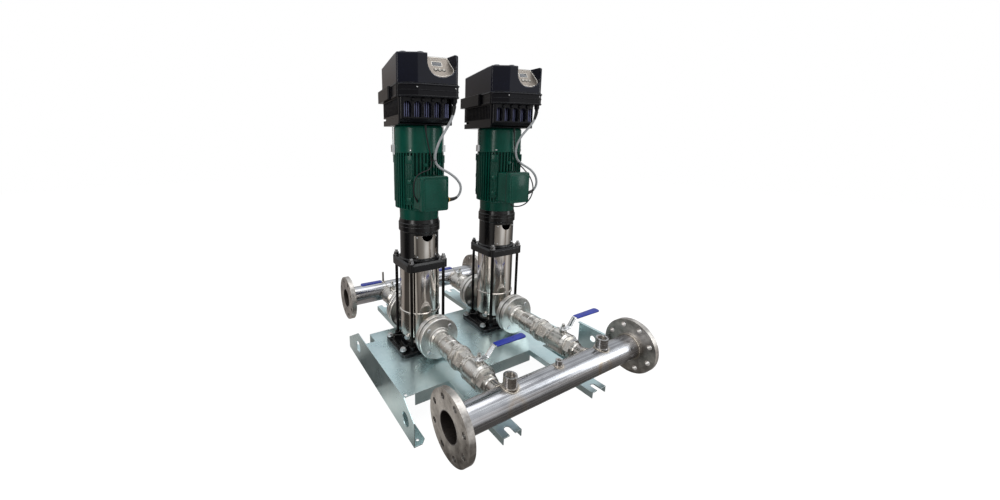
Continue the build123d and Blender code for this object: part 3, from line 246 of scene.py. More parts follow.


# %% [markdown]
# ## World, floor and light
# The photograph is cut out on white, so world and floor show white to the camera, and no horizon is seen.
# Polished metal looks like metal only when it has something uneven to mirror. So reflections see a plain hall
# instead: a ring of lighter and darker walls under a bright ceiling. The camera looks down a little, so upright
# metal mirrors the floor, which glows to reflections alone with a painted shade in front of the set and a painted
# copy of the same ring further out. Three large soft lamps light the set.

# %% Walls of the hall
# Bearings in degrees, each with what polished metal mirrors from there
HALL_WALLS = [
    (-175, (0.06, 0.055, 0.05)), (-160, (0.88, 0.84, 0.79)), (-142, (0.70, 0.67, 0.63)),
    (-131, (0.06, 0.055, 0.05)), (-120, (0.30, 0.28, 0.26)), (-95, (0.42, 0.40, 0.38)), (-78, (1.0, 1.0, 1.0)),
    (-60, (0.96, 0.95, 0.94)), (-50, (0.27, 0.22, 0.18)), (-35, (0.86, 0.85, 0.84)), (-15, (0.34, 0.32, 0.30)),
    (10, (0.07, 0.065, 0.06)), (40, (0.40, 0.39, 0.38)), (60, (0.95, 0.95, 0.95)), (85, (0.24, 0.20, 0.17)),
    (115, (0.34, 0.32, 0.31)), (145, (0.50, 0.46, 0.43)), (160, (0.06, 0.055, 0.05)),
]


def hall_ring(vector):
    """The hall's tones by bearing, from a direction or a place."""
    tree = vector.id_data
    split = add_node(tree, "SeparateXYZ", vector).outputs
    bearing = arithmetic("ARCTAN2", split["Y"], split["X"])
    uneven = field(tree, "TexNoise", noise_dimensions="1D", W=bearing, Scale=4.0, Detail=3.0)
    walls = arithmetic("MULTIPLY_ADD", uneven, 0.03, between(bearing, 0.0, 1.0, -math.pi, math.pi))
    return tones(walls, *[((degrees + 180) / 360, (*tone, 1)) for degrees, tone in HALL_WALLS])


print("hall walls:", len(HALL_WALLS), "tones round the horizon")

# %% World
WHITE = (1, 1, 1, 1)
CEILING = (0.88, 0.90, 0.92, 1)
world = bpy.data.worlds.new("hall")
bpy.context.scene.world = world
tree = empty_tree(world)
rays = add_node(tree, "LightPath").outputs
direction = add_node(tree, "TexCoord").outputs["Generated"]
rise = between(add_node(tree, "SeparateXYZ", direction).outputs["Z"], 0.0, 1.0, 0.14, 0.46)
mirrored = field(tree, "Background", blend_tones(rise, hall_ring(direction), CEILING), 0.95)
fill = field(tree, "Background", (0.93, 0.96, 1.0, 1), 0.34)
white = field(tree, "Background", WHITE, 1.0)
indirect = field(tree, "MixShader", rays["Is Glossy Ray"], fill, mirrored)
straight = arithmetic("MAXIMUM", rays["Is Camera Ray"], rays["Is Transmission Ray"])
add_node(tree, "OutputWorld", field(tree, "MixShader", straight, indirect, white))
print("world made: white to the camera, a hall in reflections, a soft fill for the rest")

# %% Floor
FLOOR_RADIUS = 9.0
SHADED_FLOOR = (0.1, -0.8, 0.0)
floor_mesh = bpy.data.meshes.new("studio_floor")
sheet = bmesh.new()
bmesh.ops.create_circle(sheet, cap_ends=True, segments=96, radius=FLOOR_RADIUS)
sheet.to_mesh(floor_mesh)
sheet.free()
floor = into_scene("studio_floor", floor_mesh)
floor.location.z = -0.0005
floor_paint = bpy.data.materials.new("floor_paint")
tree = empty_tree(floor_paint)
rays = add_node(tree, "LightPath").outputs
place = add_node(tree, "TexCoord").outputs["Object"]
# To reflections the floor glows: a painted shade in front of the set, and further out a painted copy of the hall's
# tones
far = add_node(tree, "VectorMath", place, SHADED_FLOOR, operation="DISTANCE").outputs["Value"]
painted_floor_shade_and_reflection = blend_tones(between(far, 0.0, 1.0, 0.40, 0.95), (0.15, 0.14, 0.13, 1), hall_ring(place))
mirrored = field(tree, "Emission", painted_floor_shade_and_reflection, 0.9)
bounce = field(tree, "BsdfDiffuse", (0.60, 0.60, 0.60, 1))
shade = field(tree, "BsdfDiffuse", (0.17, 0.17, 0.17, 1))
seen = field(tree, "AddShader", shade, field(tree, "Emission", WHITE, 0.95))
indirect = field(tree, "MixShader", rays["Is Glossy Ray"], bounce, mirrored)
add_node(tree, "OutputMaterial", field(tree, "MixShader", rays["Is Camera Ray"], indirect, seen))
floor_mesh.materials.append(floor_paint)
print("floor made, radius", FLOOR_RADIUS, "m")


# %% Lamps
def soft_lamp(name, place, size, power, tint=(1, 1, 1)):
    """A large rectangular lamp that looks at the middle of the set."""
    data = bpy.data.lights.new(name, "AREA")
    data.shape = "RECTANGLE"
    data.size, data.size_y = size
    data.energy = power
    data.color = tint
    lamp = into_scene(name, data)
    lamp.location = place
    lamp.rotation_mode = "QUATERNION"
    lamp.rotation_quaternion = (Vector((0, 0, 0.6)) - Vector(place)).to_track_quat("-Z", "Y")
    lamp.visible_camera = False


soft_lamp("ceiling_lamp", (0.3, -0.4, 3.4), (2.6, 2.6), 44)
soft_lamp("left_lamp", (-2.9, -1.2, 1.7), (0.8, 2.2), 26, (1.0, 0.98, 0.95))
soft_lamp("right_lamp", (2.4, -2.3, 1.5), (0.7, 2.0), 18, (0.95, 0.98, 1.0))
print("lamps made")

# %% [markdown]
# ## Colour handling
# The plain view transform shows each colour as it is written.

# %% View transform
bpy.context.scene.view_settings.view_transform = "Standard"
print("view transform:", bpy.context.scene.view_settings.view_transform)

# %% [markdown]
# ## Helpers for finishes
# Every finish is one Principled shader. What is the same all over the surface, such as how metallic it is, is
# set on the shader itself. Only what varies, such as the grain, is driven by textures. The textures take their
# place from the object's own coordinates, in metres, so one scale fits every piece.


# %% A new finish
def new_finish(name, **sockets):
    """A material with one Principled shader and its plain values set."""
    finish = bpy.data.materials.new(name)
    tree = empty_tree(finish)
    shader = add_node(tree, "BsdfPrincipled", **sockets)
    add_node(tree, "OutputMaterial", shader.outputs[0])
    return finish, tree, shader


def texture_place(tree, scale=(1, 1, 1)):
    """The object's own coordinates, stretched."""
    return field(tree, "Mapping", add_node(tree, "TexCoord").outputs["Object"], Scale=scale)


def coordinates(tree):
    """The X, Y and Z of the object's own place."""
    return tuple(add_node(tree, "SeparateXYZ", texture_place(tree)).outputs)


def grain(place, scale, detail=3.0, rough=0.5):
    """Soft noise, 0 to 1."""
    return field(place.id_data, "TexNoise", place, Scale=scale, Detail=detail, Roughness=rough)


def axis_distance(first, second):
    """Distance from an axis, from two coordinates of a place."""
    squares = [arithmetic("MULTIPLY", value, value) for value in (first, second)]
    return arithmetic("SQRT", arithmetic("ADD", *squares))


# %% Edges and relief
def soft_edges(tree, radius):
    """Rounds the look of every edge by that radius."""
    return field(tree, "Bevel", samples=4, Radius=radius)


# The finishes blend a lighter tone in along this mask: partly wear, partly a painted highlight on the edges.
def edge_wear_and_highlight(edge):
    """1 along edges and 0 on flats, from how far the softened normal leans."""
    flat = add_node(edge.id_data, "NewGeometry").outputs["True Normal"]
    lean = add_node(edge.id_data, "VectorMath", edge, flat, operation="DOT_PRODUCT").outputs["Value"]
    return between(lean, 1.0, 0.0, 0.80, 0.985)


def cover(shader, tone, gloss, height, strength, depth, edge):
    """Feeds the shader its colour, its roughness and a relief on top of softened edges."""
    put(shader.inputs["Base Color"], tone)
    put(shader.inputs["Roughness"], gloss)
    put(shader.inputs["Normal"], field(shader.id_data, "Bump", Strength=strength, Distance=depth,
                                       Height=height, Normal=edge))


# %% Which node wears what
FINISHES = {}


def dress(finish, *names):
    """Notes a finish for CAD nodes. A name may stand for a left and a right node."""
    for name in names:
        for node_name in (name, f"{name}_left", f"{name}_right"):
            if node_name in nodes:
                FINISHES[node_name] = finish
    return finish


print("finish helpers ready")

# %% [markdown]
# ## Galvanised sheet
# The base is hot-dip galvanised steel. The zinc freezes into flat crystals about a centimetre across, called
# spangle, and on this sheet they are faint. Voronoi cells with bent borders give them: each cell's random value
# moves the tone a little, and a slow cloud moves it more. The sheet is a little wavy, which bends reflections.


# %% Galvanised sheet
def galvanised_sheet():
    finish, tree, shader = new_finish("galvanised_sheet", Metallic=0.86)
    place = texture_place(tree)
    wobble = add_node(tree, "TexNoise", place, Scale=60.0, Detail=2.0).outputs["Color"]
    bent = field(tree, "VectorMath", wobble, (0.010, 0.010, 0.010), place, operation="MULTIPLY_ADD")
    crystal = field(tree, "SeparateColor", add_node(tree, "TexVoronoi", bent, Scale=75.0).outputs["Color"])
    cloud = grain(place, 5.0, 4.0, 0.6)
    both = arithmetic("MULTIPLY_ADD", crystal, 0.08, arithmetic("MULTIPLY", cloud, 0.92))
    tone = tones(both, (0.30, colour(182, 208, 212)), (0.52, colour(202, 225, 228)),
                 (0.72, colour(218, 236, 238)))
    edge = soft_edges(tree, 0.0016)
    # Painted highlight along the sheet's edges and bends: a pale tone blended in by the edge mask.
    cover(shader, blend_tones(edge_wear_and_highlight(edge), tone, colour(224, 228, 230)),
          between(cloud, 0.24, 0.32, 0.3, 0.7), grain(place, 3.0, 1.0), 0.25, 0.0060, edge)
    return finish


dress(galvanised_sheet(), "base_frame", "side_bracket")
print("galvanised sheet made")

# %% [markdown]
# ## Stainless pipe
# The manifolds are welded stainless pipe, ground along their length. The grinding lines are noise that is
# stretched far along X. Beside each weld the heat leaves a thin straw-brown tint, so the finish measures how
# far a point is from the weld rings and darkens there.


# %% Stainless pipe
def near(value, centre, reach):
    """1 at the centre, falling to 0 at reach."""
    return between(arithmetic("ABSOLUTE", arithmetic("SUBTRACT", value, centre)), 1.0, 0.0, 0.0, reach)


def weld_heat(x, from_axis, height, ends, upright_rings):
    """1 at the welds of the flanges, sockets and branches, falling to 0 beside them."""
    above = between(height, 0.0, 1.0, 0.030, 0.036)
    heats = [near(x, end, 0.030) for end in ends]
    for ring_x, radius in upright_rings:
        away = axis_distance(arithmetic("SUBTRACT", x, ring_x), from_axis)
        heats.append(arithmetic("MULTIPLY", near(away, radius, 0.011), above))
    for ring_x in PUMPS.values():
        heats.append(near(axis_distance(arithmetic("SUBTRACT", x, ring_x), height), 0.028, 0.016))
    heat = heats[0]
    for other in heats[1:]:
        heat = arithmetic("MAXIMUM", heat, other)
    return heat


def stainless_pipe(name, axis_y, ends, upright_rings):
    finish, tree, shader = new_finish(name, Metallic=1.0)
    lines = grain(texture_place(tree, (0.9, 150, 150)), 1.0, 4.0)
    cloud = grain(texture_place(tree), 9.0, 4.0, 0.6)
    x, y, z = coordinates(tree)
    from_axis = arithmetic("SUBTRACT", y, axis_y)
    height = arithmetic("SUBTRACT", z, PORT_Z)
    heat = weld_heat(x, from_axis, height, ends, upright_rings)
    heat = arithmetic("MULTIPLY", heat, between(cloud, 0.25, 0.62, 0.35, 0.65))
    steel = tones(arithmetic("MULTIPLY_ADD", lines, 0.7, arithmetic("MULTIPLY", cloud, 0.3)),
                  (0.34, colour(126, 127, 131)), (0.64, colour(200, 201, 205)))
    tint = tones(heat, (0.0, colour(205, 202, 197)), (0.45, colour(188, 168, 138)),
                 (0.8, colour(136, 112, 92)))
    # Painted shade inside the pipe's bore: a dark brown tone there, broken by the grinding lines.
    bore_shade = between(axis_distance(from_axis, height), 1.0, 0.0, 0.0425, 0.0435)
    bore_shade = arithmetic("MULTIPLY", bore_shade, between(lines, 0.8, 1.0, 0.3, 0.7))
    tone = blend_tones(bore_shade, blend_tones(heat, steel, tint), colour(74, 66, 62))
    gloss = arithmetic("MULTIPLY_ADD", bore_shade, 0.3, between(lines, 0.15, 0.34, 0.3, 0.7))
    cover(shader, tone, gloss, lines, 0.05, 0.0004, soft_edges(tree, 0.0008))
    return finish


dress(stainless_pipe("discharge_pipe", DISCHARGE_Y, (-0.374, 0.390),
                     [(-0.186, 0.024), (0.224, 0.024), (0.015, 0.014)]), "discharge_manifold")
dress(stainless_pipe("suction_pipe", SUCTION_Y, (-0.370, 0.336), [(-0.203, 0.008)]), "suction_manifold")
print("stainless pipe made")

# %% [markdown]
# ## Turned flanges
# The flanges are turned on a lathe, which leaves fine rings round their own axis. The finish measures each
# point's distance from the nearest flange axis and makes noise of that one number, so the rings run round.


# %% Turned steel
def mirrored_distance(value, middle, half, z):
    """Distance from the nearer of two axes at port height that lie to either side of a middle."""
    aside = arithmetic("ABSOLUTE", arithmetic("SUBTRACT", value, middle))
    return axis_distance(arithmetic("SUBTRACT", aside, half), arithmetic("SUBTRACT", z, PORT_Z))


def from_manifold_axis(x, y, z):
    return mirrored_distance(y, (SUCTION_Y + DISCHARGE_Y) / 2, (SUCTION_Y - DISCHARGE_Y) / 2, z)


def from_port_axis(x, y, z):
    return mirrored_distance(x, 0.0, PUMPS["right"], z)


def turned_steel(name, rings_from, low_tone, high_tone, rough=(0.22, 0.42), dull=0.35):
    """rings_from makes the distance socket from X, Y and Z."""
    finish, tree, shader = new_finish(name, Metallic=1.0)
    away = rings_from(*coordinates(tree))
    rings = field(tree, "TexNoise", noise_dimensions="1D", W=away, Scale=900.0, Detail=2.0)
    cloud = grain(texture_place(tree), 22.0, 5.0, 0.65)
    both = arithmetic("MULTIPLY_ADD", rings, 1 - dull, arithmetic("MULTIPLY", cloud, dull))
    edge = soft_edges(tree, 0.0010)
    tone = tones(both, (0.32, low_tone), (0.68, high_tone))
    # Painted highlight along the edges, partly wear: a pale tone blended in by the edge mask.
    lit_and_worn_edges = arithmetic("MULTIPLY", edge_wear_and_highlight(edge), 0.7)
    cover(shader, blend_tones(lit_and_worn_edges, tone, colour(226, 222, 216)), between(both, *rough, 0.3, 0.7),
          rings, 0.16, 0.0004, edge)
    return finish


dress(turned_steel("manifold_flange_steel", from_manifold_axis, colour(104, 98, 94), colour(224, 220, 215),
                   (0.24, 0.50), 0.80), "manifold_flanges")
dress(turned_steel("line_flange_steel", from_port_axis, colour(196, 194, 190), colour(228, 226, 222)),
      "line_flanges", "port_flanges")
print("turned steel made")

# %% [markdown]
# ## Pressed and polished casing
# The pump casing is thin pressed stainless sheet, slightly wavy from the press, and the outer sleeve is
# polished almost to a mirror. A mirror needs something to mirror, so these finishes stay simple and the hall
# around them does the work, with a very slow waviness that bends the reflections.


# %% Polished sheet
def polished_sheet(name, rough, wave, tone_low, tone_high):
    finish, tree, shader = new_finish(name, Metallic=1.0)
    slow = grain(texture_place(tree, (1, 1, 0.35)), 16.0, 2.0)
    fine = grain(texture_place(tree, (60, 60, 900)), 1.0, 2.0)
    cover(shader, tones(slow, (0.35, tone_low), (0.65, tone_high)),
          between(fine, rough * 0.7, rough * 1.5, 0.3, 0.7), slow, wave, 0.004, soft_edges(tree, 0.0010))
    return finish


dress(polished_sheet("polished_sleeve", 0.09, 0.10, colour(204, 198, 192), colour(230, 225, 220)), "sleeves")
dress(polished_sheet("pressed_casing", 0.15, 0.24, colour(198, 193, 187), colour(226, 222, 216)),
      "volutes", "stage_chambers")
dress(polished_sheet("guard_sheet", 0.10, 0.45, colour(160, 157, 152), colour(202, 198, 193)),
      "coupling_guards")
print("polished sheet made")

# %% [markdown]
# ## Cast iron in black paint
# Feet, heads and the motor lanterns are castings in gloss black. Sand leaves a fine pebbled skin that the
# paint rounds off. Along the edges a grey tone is painted in patches: partly wear, partly a painted highlight.


# %% Painted castings
def painted_casting(name, low_tone, high_tone, edge_tone, rough, pebble, scale, edge_radius, highlight_and_wear=0.5,
                    coat=0.0, specular=0.38):
    finish, tree, shader = new_finish(name, Metallic=0.0, Specular_IOR_Level=specular, Coat_Weight=coat,
                                      Coat_Roughness=0.07)
    place = texture_place(tree)
    skin = grain(place, scale, 4.0, 0.6)
    cloud = grain(place, 14.0, 4.0, 0.6)
    edge = soft_edges(tree, edge_radius)
    # Patches of a lighter edge tone, partly wear and partly a painted highlight.
    patchy_highlight_and_wear = arithmetic("MULTIPLY", between(grain(place, 70.0, 4.0, 0.7), 0.0, 1.0, 0.42, 0.62), highlight_and_wear)
    tone = tones(cloud, (0.3, low_tone), (0.7, high_tone))
    cover(shader, blend_tones(arithmetic("MULTIPLY", edge_wear_and_highlight(edge), patchy_highlight_and_wear), tone, edge_tone),
          between(skin, *rough, 0.3, 0.7), skin, pebble, 0.0005, edge)
    return finish


cast_black = painted_casting("cast_black_paint", colour(9, 9, 11), colour(17, 17, 19), colour(146, 146, 148),
                             (0.12, 0.25), 0.20, 420.0, 0.0022, 0.7)
dress(cast_black, "pump_feet", "pump_heads", "motor_stool")
print("black castings made")

# %% [markdown]
# ## Green motor paint
# The motor is sprayed in a dark bluish green. Spray paint dries with a faint orange-peel skin. The sheet fan cover
# gets a little paler copy of the paint, painted lighter where it catches more light.

# %% Green paint
# Both greens carry a paler green along their edges: partly wear, partly a painted highlight.
motor_green = painted_casting("motor_green", colour(9, 70, 57), colour(14, 82, 68), colour(56, 130, 112),
                              (0.18, 0.32), 0.22, 260.0, 0.0012, 0.40, 0.08, 0.16)
cover_green = painted_casting("cover_green", colour(11, 76, 62), colour(17, 88, 74), colour(74, 144, 126),
                              (0.16, 0.28), 0.12, 260.0, 0.0018, 0.4, 0.12, 0.18)
dress(motor_green, "stator", "terminal_boxes")
dress(cover_green, "fan_covers")
print("green paint made")

# %% [markdown]
# ## Moulded black plastic
# The inverter's lid is glossy moulded plastic with a faint blue cast, and its base is duller, with the fine
# spark texture of the mould. Plastic has soft edges, so the edge radius is larger here.

# %% Inverter plastic
# The lid's pale blue edge tone, blended in along its edges in patches, is a painted highlight.
lid_plastic = painted_casting("lid_plastic", colour(10, 13, 27), colour(14, 18, 34), colour(132, 144, 170),
                              (0.07, 0.16), 0.05, 160.0, 0.0034, 0.85, 0.0, 0.30)
base_plastic = painted_casting("base_plastic", colour(9, 9, 14), colour(15, 15, 21), colour(58, 62, 74),
                               (0.20, 0.34), 0.25, 900.0, 0.0026, 0.4, 0.0, 0.20)
dress(lid_plastic, "inverter_lid")
dress(base_plastic, "inverter_base")
print("inverter plastic made")


# %% [markdown]
# ## Plated, brass and bright fasteners
# The valve train is nickel-plated brass: pale, a little warm, with a soft satin skin from tumbling. Bolts
# are zinc plated and cooler, and the cable glands are plain brass.


# %% Satin metals
def satin_metal(name, low_tone, high_tone, rough, scale=240.0, bumps=0.10):
    finish, tree, shader = new_finish(name, Metallic=1.0)
    place = texture_place(tree)
    skin = grain(place, scale, 3.0, 0.6)
    cloud = grain(place, 40.0, 4.0, 0.65)
    edge = soft_edges(tree, 0.0009)
    # Painted highlight along the edges, partly wear: a pale tone blended in by the edge mask.
    lit_and_worn_edges = arithmetic("MULTIPLY", edge_wear_and_highlight(edge), 0.6)
    tone = tones(cloud, (0.32, low_tone), (0.68, high_tone))
    cover(shader, blend_tones(lit_and_worn_edges, tone, colour(236, 232, 226)), between(cloud, *rough, 0.3, 0.7),
          skin, bumps, 0.0004, edge)
    return finish


plated_valve = satin_metal("plated_valve", colour(188, 185, 180), colour(220, 217, 212), (0.23, 0.33),
                           240.0, 0.05)
zinc = satin_metal("zinc_fastener", colour(182, 184, 186), colour(220, 222, 224), (0.24, 0.38))
brass = satin_metal("gland_brass", colour(176, 138, 70), colour(206, 170, 98), (0.22, 0.38))
shaft_steel = satin_metal("shaft_steel", colour(150, 150, 152), colour(188, 188, 190), (0.18, 0.32))
lever_steel = satin_metal("lever_steel", colour(214, 216, 218), colour(240, 241, 242), (0.12, 0.24),
                          300.0, 0.06)
dress(plated_valve, "pipe_nipples", "check_valve_bodies", "ball_valve_bodies", "discharge_ball",
      "suction_ball", "check_disc")
dress(shaft_steel, "pump_rotor", "motor_rotor", "coupling")
dress(zinc, "foot_bolts", "flange_bolts", "drain_plugs", "cover_clips")
dress(brass, "cable_glands")
print("satin metals made")

# %% [markdown]
# ## Tie rods
# The four rods of each pump are black steel, but their washers and nuts above the head are bright. They are
# one CAD node, so the finish changes with height, at the head's top face.


# %% Black rods with bright nuts
def rod_steel():
    finish, tree, shader = new_finish("rod_steel", Metallic=1.0)
    z = coordinates(tree)[2]
    bright = between(z, 0.0, 1.0, HEAD_TOP - 0.0004, HEAD_TOP + 0.0001)
    cloud = grain(texture_place(tree, (1, 1, 0.3)), 60.0, 4.0, 0.6)
    black = tones(cloud, (0.3, colour(24, 23, 23)), (0.7, colour(44, 42, 41)))
    silver = tones(cloud, (0.3, colour(120, 120, 121)), (0.7, colour(168, 168, 168)))
    cover(shader, blend_tones(bright, black, silver), between(cloud, 0.26, 0.42, 0.3, 0.7),
          cloud, 0.10, 0.0004, soft_edges(tree, 0.0008))
    return finish


dress(rod_steel(), "tie_rods")
print("tie rods made")

# %% [markdown]
# ## Gaskets, keypad, keys and cables
# Fibre gaskets are dull dark grey. The keypad plate is warm grey sheet with a fine horizontal brushing, and the
# keys are pale plastic. The power cable has a smooth pale grey jacket, the signal cable a black one.


# %% Rubber, fibre and jackets
def soft_solid(name, low_tone, high_tone, rough, scale=300.0, bumps=0.15, specular=0.35):
    finish, tree, shader = new_finish(name, Metallic=0.0, Specular_IOR_Level=specular)
    place = texture_place(tree)
    skin = grain(place, scale, 3.0, 0.6)
    cloud = grain(place, 45.0, 4.0, 0.6)
    cover(shader, tones(cloud, (0.3, low_tone), (0.7, high_tone)), between(skin, *rough, 0.3, 0.7),
          skin, bumps, 0.0004, soft_edges(tree, 0.0006))
    return finish


def brushed_plate(name, low_tone, high_tone):
    finish, tree, shader = new_finish(name, Metallic=0.45)
    lines = grain(texture_place(tree, (12, 900, 900)), 1.0, 3.0)
    cover(shader, tones(lines, (0.3, low_tone), (0.7, high_tone)), between(lines, 0.30, 0.46, 0.3, 0.7),
          lines, 0.08, 0.0003, soft_edges(tree, 0.0006))
    return finish


gasket_fibre = soft_solid("gasket_fibre", colour(34, 36, 36), colour(52, 54, 53), (0.6, 0.8))
dress(gasket_fibre, "port_gaskets")
dress(brushed_plate("keypad_plate", colour(104, 97, 90), colour(146, 137, 127)), "keypad_panels")
dress(soft_solid("key_plastic", colour(206, 200, 188), colour(226, 221, 210), (0.35, 0.5), 500.0, 0.08),
      "minus_key", "plus_key", "set_key")
jackets = {
    "power": soft_solid("power_jacket", colour(168, 170, 172), colour(190, 192, 194), (0.38, 0.52), 220.0, 0.10),
    "signal": soft_solid("signal_jacket", colour(20, 21, 22), colour(32, 33, 34), (0.32, 0.46), 220.0, 0.10),
}
for (kind, side), cable in cables.items():
    cable.data.materials.append(jackets[kind])
print("rubber, fibre and jackets made")

# %% Give every CAD node its finish
for name, piece in nodes.items():
    piece.data.materials.clear()
    piece.data.materials.append(FINISHES.get(name, lever_steel))
print("CAD nodes with a finish of their own:", len(FINISHES))

# %% [markdown]
# ## Helpers for small pieces
# Nuts, screws, welds and threads come next. Each helper adds one simple form, in millimetres, to a mesh that is
# being built, at a place given by a matrix. Many forms then share one object, which keeps the scene light.

# %% Rings and the skin between them
MM = 0.001


def ring_points(radius, count=120):
    """Points round the origin, in metres."""
    turns = [math.tau * k / count for k in range(count)]
    return [Vector((radius * math.cos(a), radius * math.sin(a), 0)) * MM for a in turns]


def skin(bm, rings, capped=True):
    """Faces from each ring of vertices to the next, and a cap at each end."""
    for low, high in zip(rings, rings[1:]):
        for k in range(len(low)):
            after = (k + 1) % len(low)
            corners = list(dict.fromkeys([low[k], low[after], high[after], high[k]]))
            if len(corners) > 2:
                bm.faces.new(corners)
    if capped:
        bm.faces.new(rings[0][::-1])
        bm.faces.new(rings[-1])


def turned(bm, profile, place, sides=40, capped=False):
    """Spins (radius, height) points about Z. A radius of 0 closes the form."""
    rings = []
    for radius, height in profile:
        lift = Vector((0, 0, height * MM))
        if radius == 0:
            rings.append([bm.verts.new(place @ lift)] * sides)
        else:
            rings.append([bm.verts.new(place @ (p + lift)) for p in ring_points(radius, sides)])
    skin(bm, rings, capped)


def hexagon_head(bm, flats, low, high, place, chamfer=1.0):
    """A hexagon with its top corners turned away, closed at both ends."""
    corner = flats / 2 / math.cos(math.radians(30))
    turned(bm, [(corner, low), (corner, high - chamfer * 0.6), (corner - chamfer * 1.4, high)], place, 6, True)


# %% Blocks and beads
def rounded_block(bm, low, high, place, radius=1.0, steps=3):
    """A block between two corners with every edge rounded."""
    made = bmesh.ops.create_cube(bm, size=1.0)["verts"]
    for v in made:
        v.co = Vector([lo if c < 0 else hi for c, lo, hi in zip(v.co, low, high)]) * MM
    edges = list({e for v in made for e in v.link_edges})
    made = bmesh.ops.bevel(bm, geom=edges, offset=radius * MM, segments=steps, profile=0.5,
                           affect="EDGES", clamp_overlap=True)["verts"]
    for v in set(made):
        v.co = place @ v.co


def swept(bm, points, radius_at, sides=8, closed=True):
    """A round bead or wire along points in metres. radius_at(k) gives its radius in millimetres."""
    rings = []
    count = len(points)
    normal = None
    for k, point in enumerate(points):
        before = points[k - 1] if closed or k else points[0]
        after = points[(k + 1) % count] if closed or k < count - 1 else points[-1]
        along = (after - before).normalized()
        if normal is None:
            normal = along.orthogonal().normalized()
        normal = (normal - along * normal.dot(along)).normalized()
        side = along.cross(normal)
        turns = [math.tau * s / sides for s in range(sides)]
        rings.append([bm.verts.new(point + radius_at(k) * MM * (math.cos(a) * normal + math.sin(a) * side))
                      for a in turns])
    if closed:
        shift = min(range(sides), key=lambda s: (rings[-1][0].co - rings[0][s].co).length)
        rings.append(rings[0][shift:] + rings[0][:shift])
    skin(bm, rings, not closed)


def round_bead(bm, radius, bead_radius, place, count=120, sides=8):
    """A plain bead round the Z axis of a place."""
    swept(bm, [place @ p for p in ring_points(radius, count)], lambda k: bead_radius, sides)


# %% Finish a built mesh as one piece
def piece_from(bm, name, finish, smooth_angle=40, body="set", replaced=()):
    """Makes the object, gives it its finish, and lets it ride on its CAD body."""
    bmesh.ops.recalc_face_normals(bm, faces=bm.faces)
    mesh = bpy.data.meshes.new(name)
    bm.to_mesh(mesh)
    bm.free()
    mesh.shade_smooth()
    mesh.set_sharp_from_angle(angle=math.radians(smooth_angle))
    mesh.materials.append(finish)
    piece = into_scene(name, mesh)
    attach(piece, body)
    if replaced:
        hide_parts(*replaced)
    print(name, "rides on", body, "with", len(mesh.polygons), "faces")


def at(x, y, z, turn_z=0.0):
    """A place in millimetres, with a turn about Z in degrees."""
    return Matrix.Translation((x * MM, y * MM, z * MM)) @ Matrix.Rotation(math.radians(turn_z), 4, "Z")


def pump_place(side):
    """A pump's own frame, on the floor at its axis."""
    return Matrix.Translation((PUMPS[side], PUMP_Y, 0))


ALONG_X = Matrix.Rotation(math.radians(90), 4, "Y")
ALONG_MINUS_Y = Matrix.Rotation(math.radians(90), 4, "X")
ALONG_Y = Matrix.Rotation(math.radians(-90), 4, "X")
print("building helpers ready")

# %% [markdown]
# ## Ball valve levers
# A ball valve's lever is a strip of bent steel with its far end dipped in blue vinyl. The strip is an
# eight-sided section carried along a bent line, narrower at its round end. The grip is drawn as a row of
# rounded cross sections that swell towards the end, as dipped vinyl does, and thin out to a lip where the bare
# steel comes out.

# %% Lever sizes, in millimetres from the stem's foot
LEVER_BASE = 53.3
LEVER_RISE = 32.0
LEVER_SHEET = 3.0
LEVER_KINDS = {"discharge": (190.0, 127.0), "suction": (152.0, 98.0)}
vinyl = soft_solid("blue_vinyl", colour(24, 44, 150), colour(34, 58, 176), (0.26, 0.40), 500.0, 0.06, 0.5)


def lever_section(bm, kind, side, along, outline):
    """One ring of the lever, across its own X, which runs from the stem to the tip of the closed lever."""
    turn = 0 if kind == "discharge" else 180
    place = Matrix.Translation((PUMPS[side], LEVER_STEMS[kind], PORT_Z)) @ at(0, 0, 0, turn)
    return [bm.verts.new(place @ (Vector((along, y, z)) * MM)) for y, z in outline]


# %% The bent strip
def lever_strip(kind, side):
    """One strip, from a centre line of (distance, height, half width) stations."""
    reach, grip = LEVER_KINDS[kind]
    bend_out = reach - grip - 6
    bend_in = bend_out - 26
    low, high = LEVER_BASE, LEVER_BASE + LEVER_RISE
    stations = [(-14, low, 4.0), (-13, low, 7.0), (-10, low, 9.6), (-5, low, 11.0), (bend_in - 3, low, 11.0),
                (bend_in, low + 0.5, 11.0), (bend_in + 3, low + 3, 10.6), (bend_out - 4, high - 4, 9.6),
                (bend_out - 1, high - 0.8, 9.8), (bend_out + 2, high, 10.2), (reach - 8, high, 10.2),
                (reach - 5, high, 8.0)]
    bm = bmesh.new()
    rings = []
    for along, height, half in stations:
        lower = [(-half, 0.5), (-half + 0.5, 0), (half - 0.5, 0), (half, 0.5)]
        outline = lower + [(y, LEVER_SHEET - z) for y, z in lower[::-1]]
        rings.append(lever_section(bm, kind, side, along, [(y, height + z) for y, z in outline]))
    skin(bm, rings)
    piece_from(bm, f"{kind}_lever_strip_{side}", lever_steel, 40, f"{kind}_valve_{side}",
               [f"{kind}_lever_{side}"])


# %% The vinyl grip and the nut
def squared(value, power):
    """A share of a circle pushed out towards a square."""
    return math.copysign(abs(value) ** power, value)


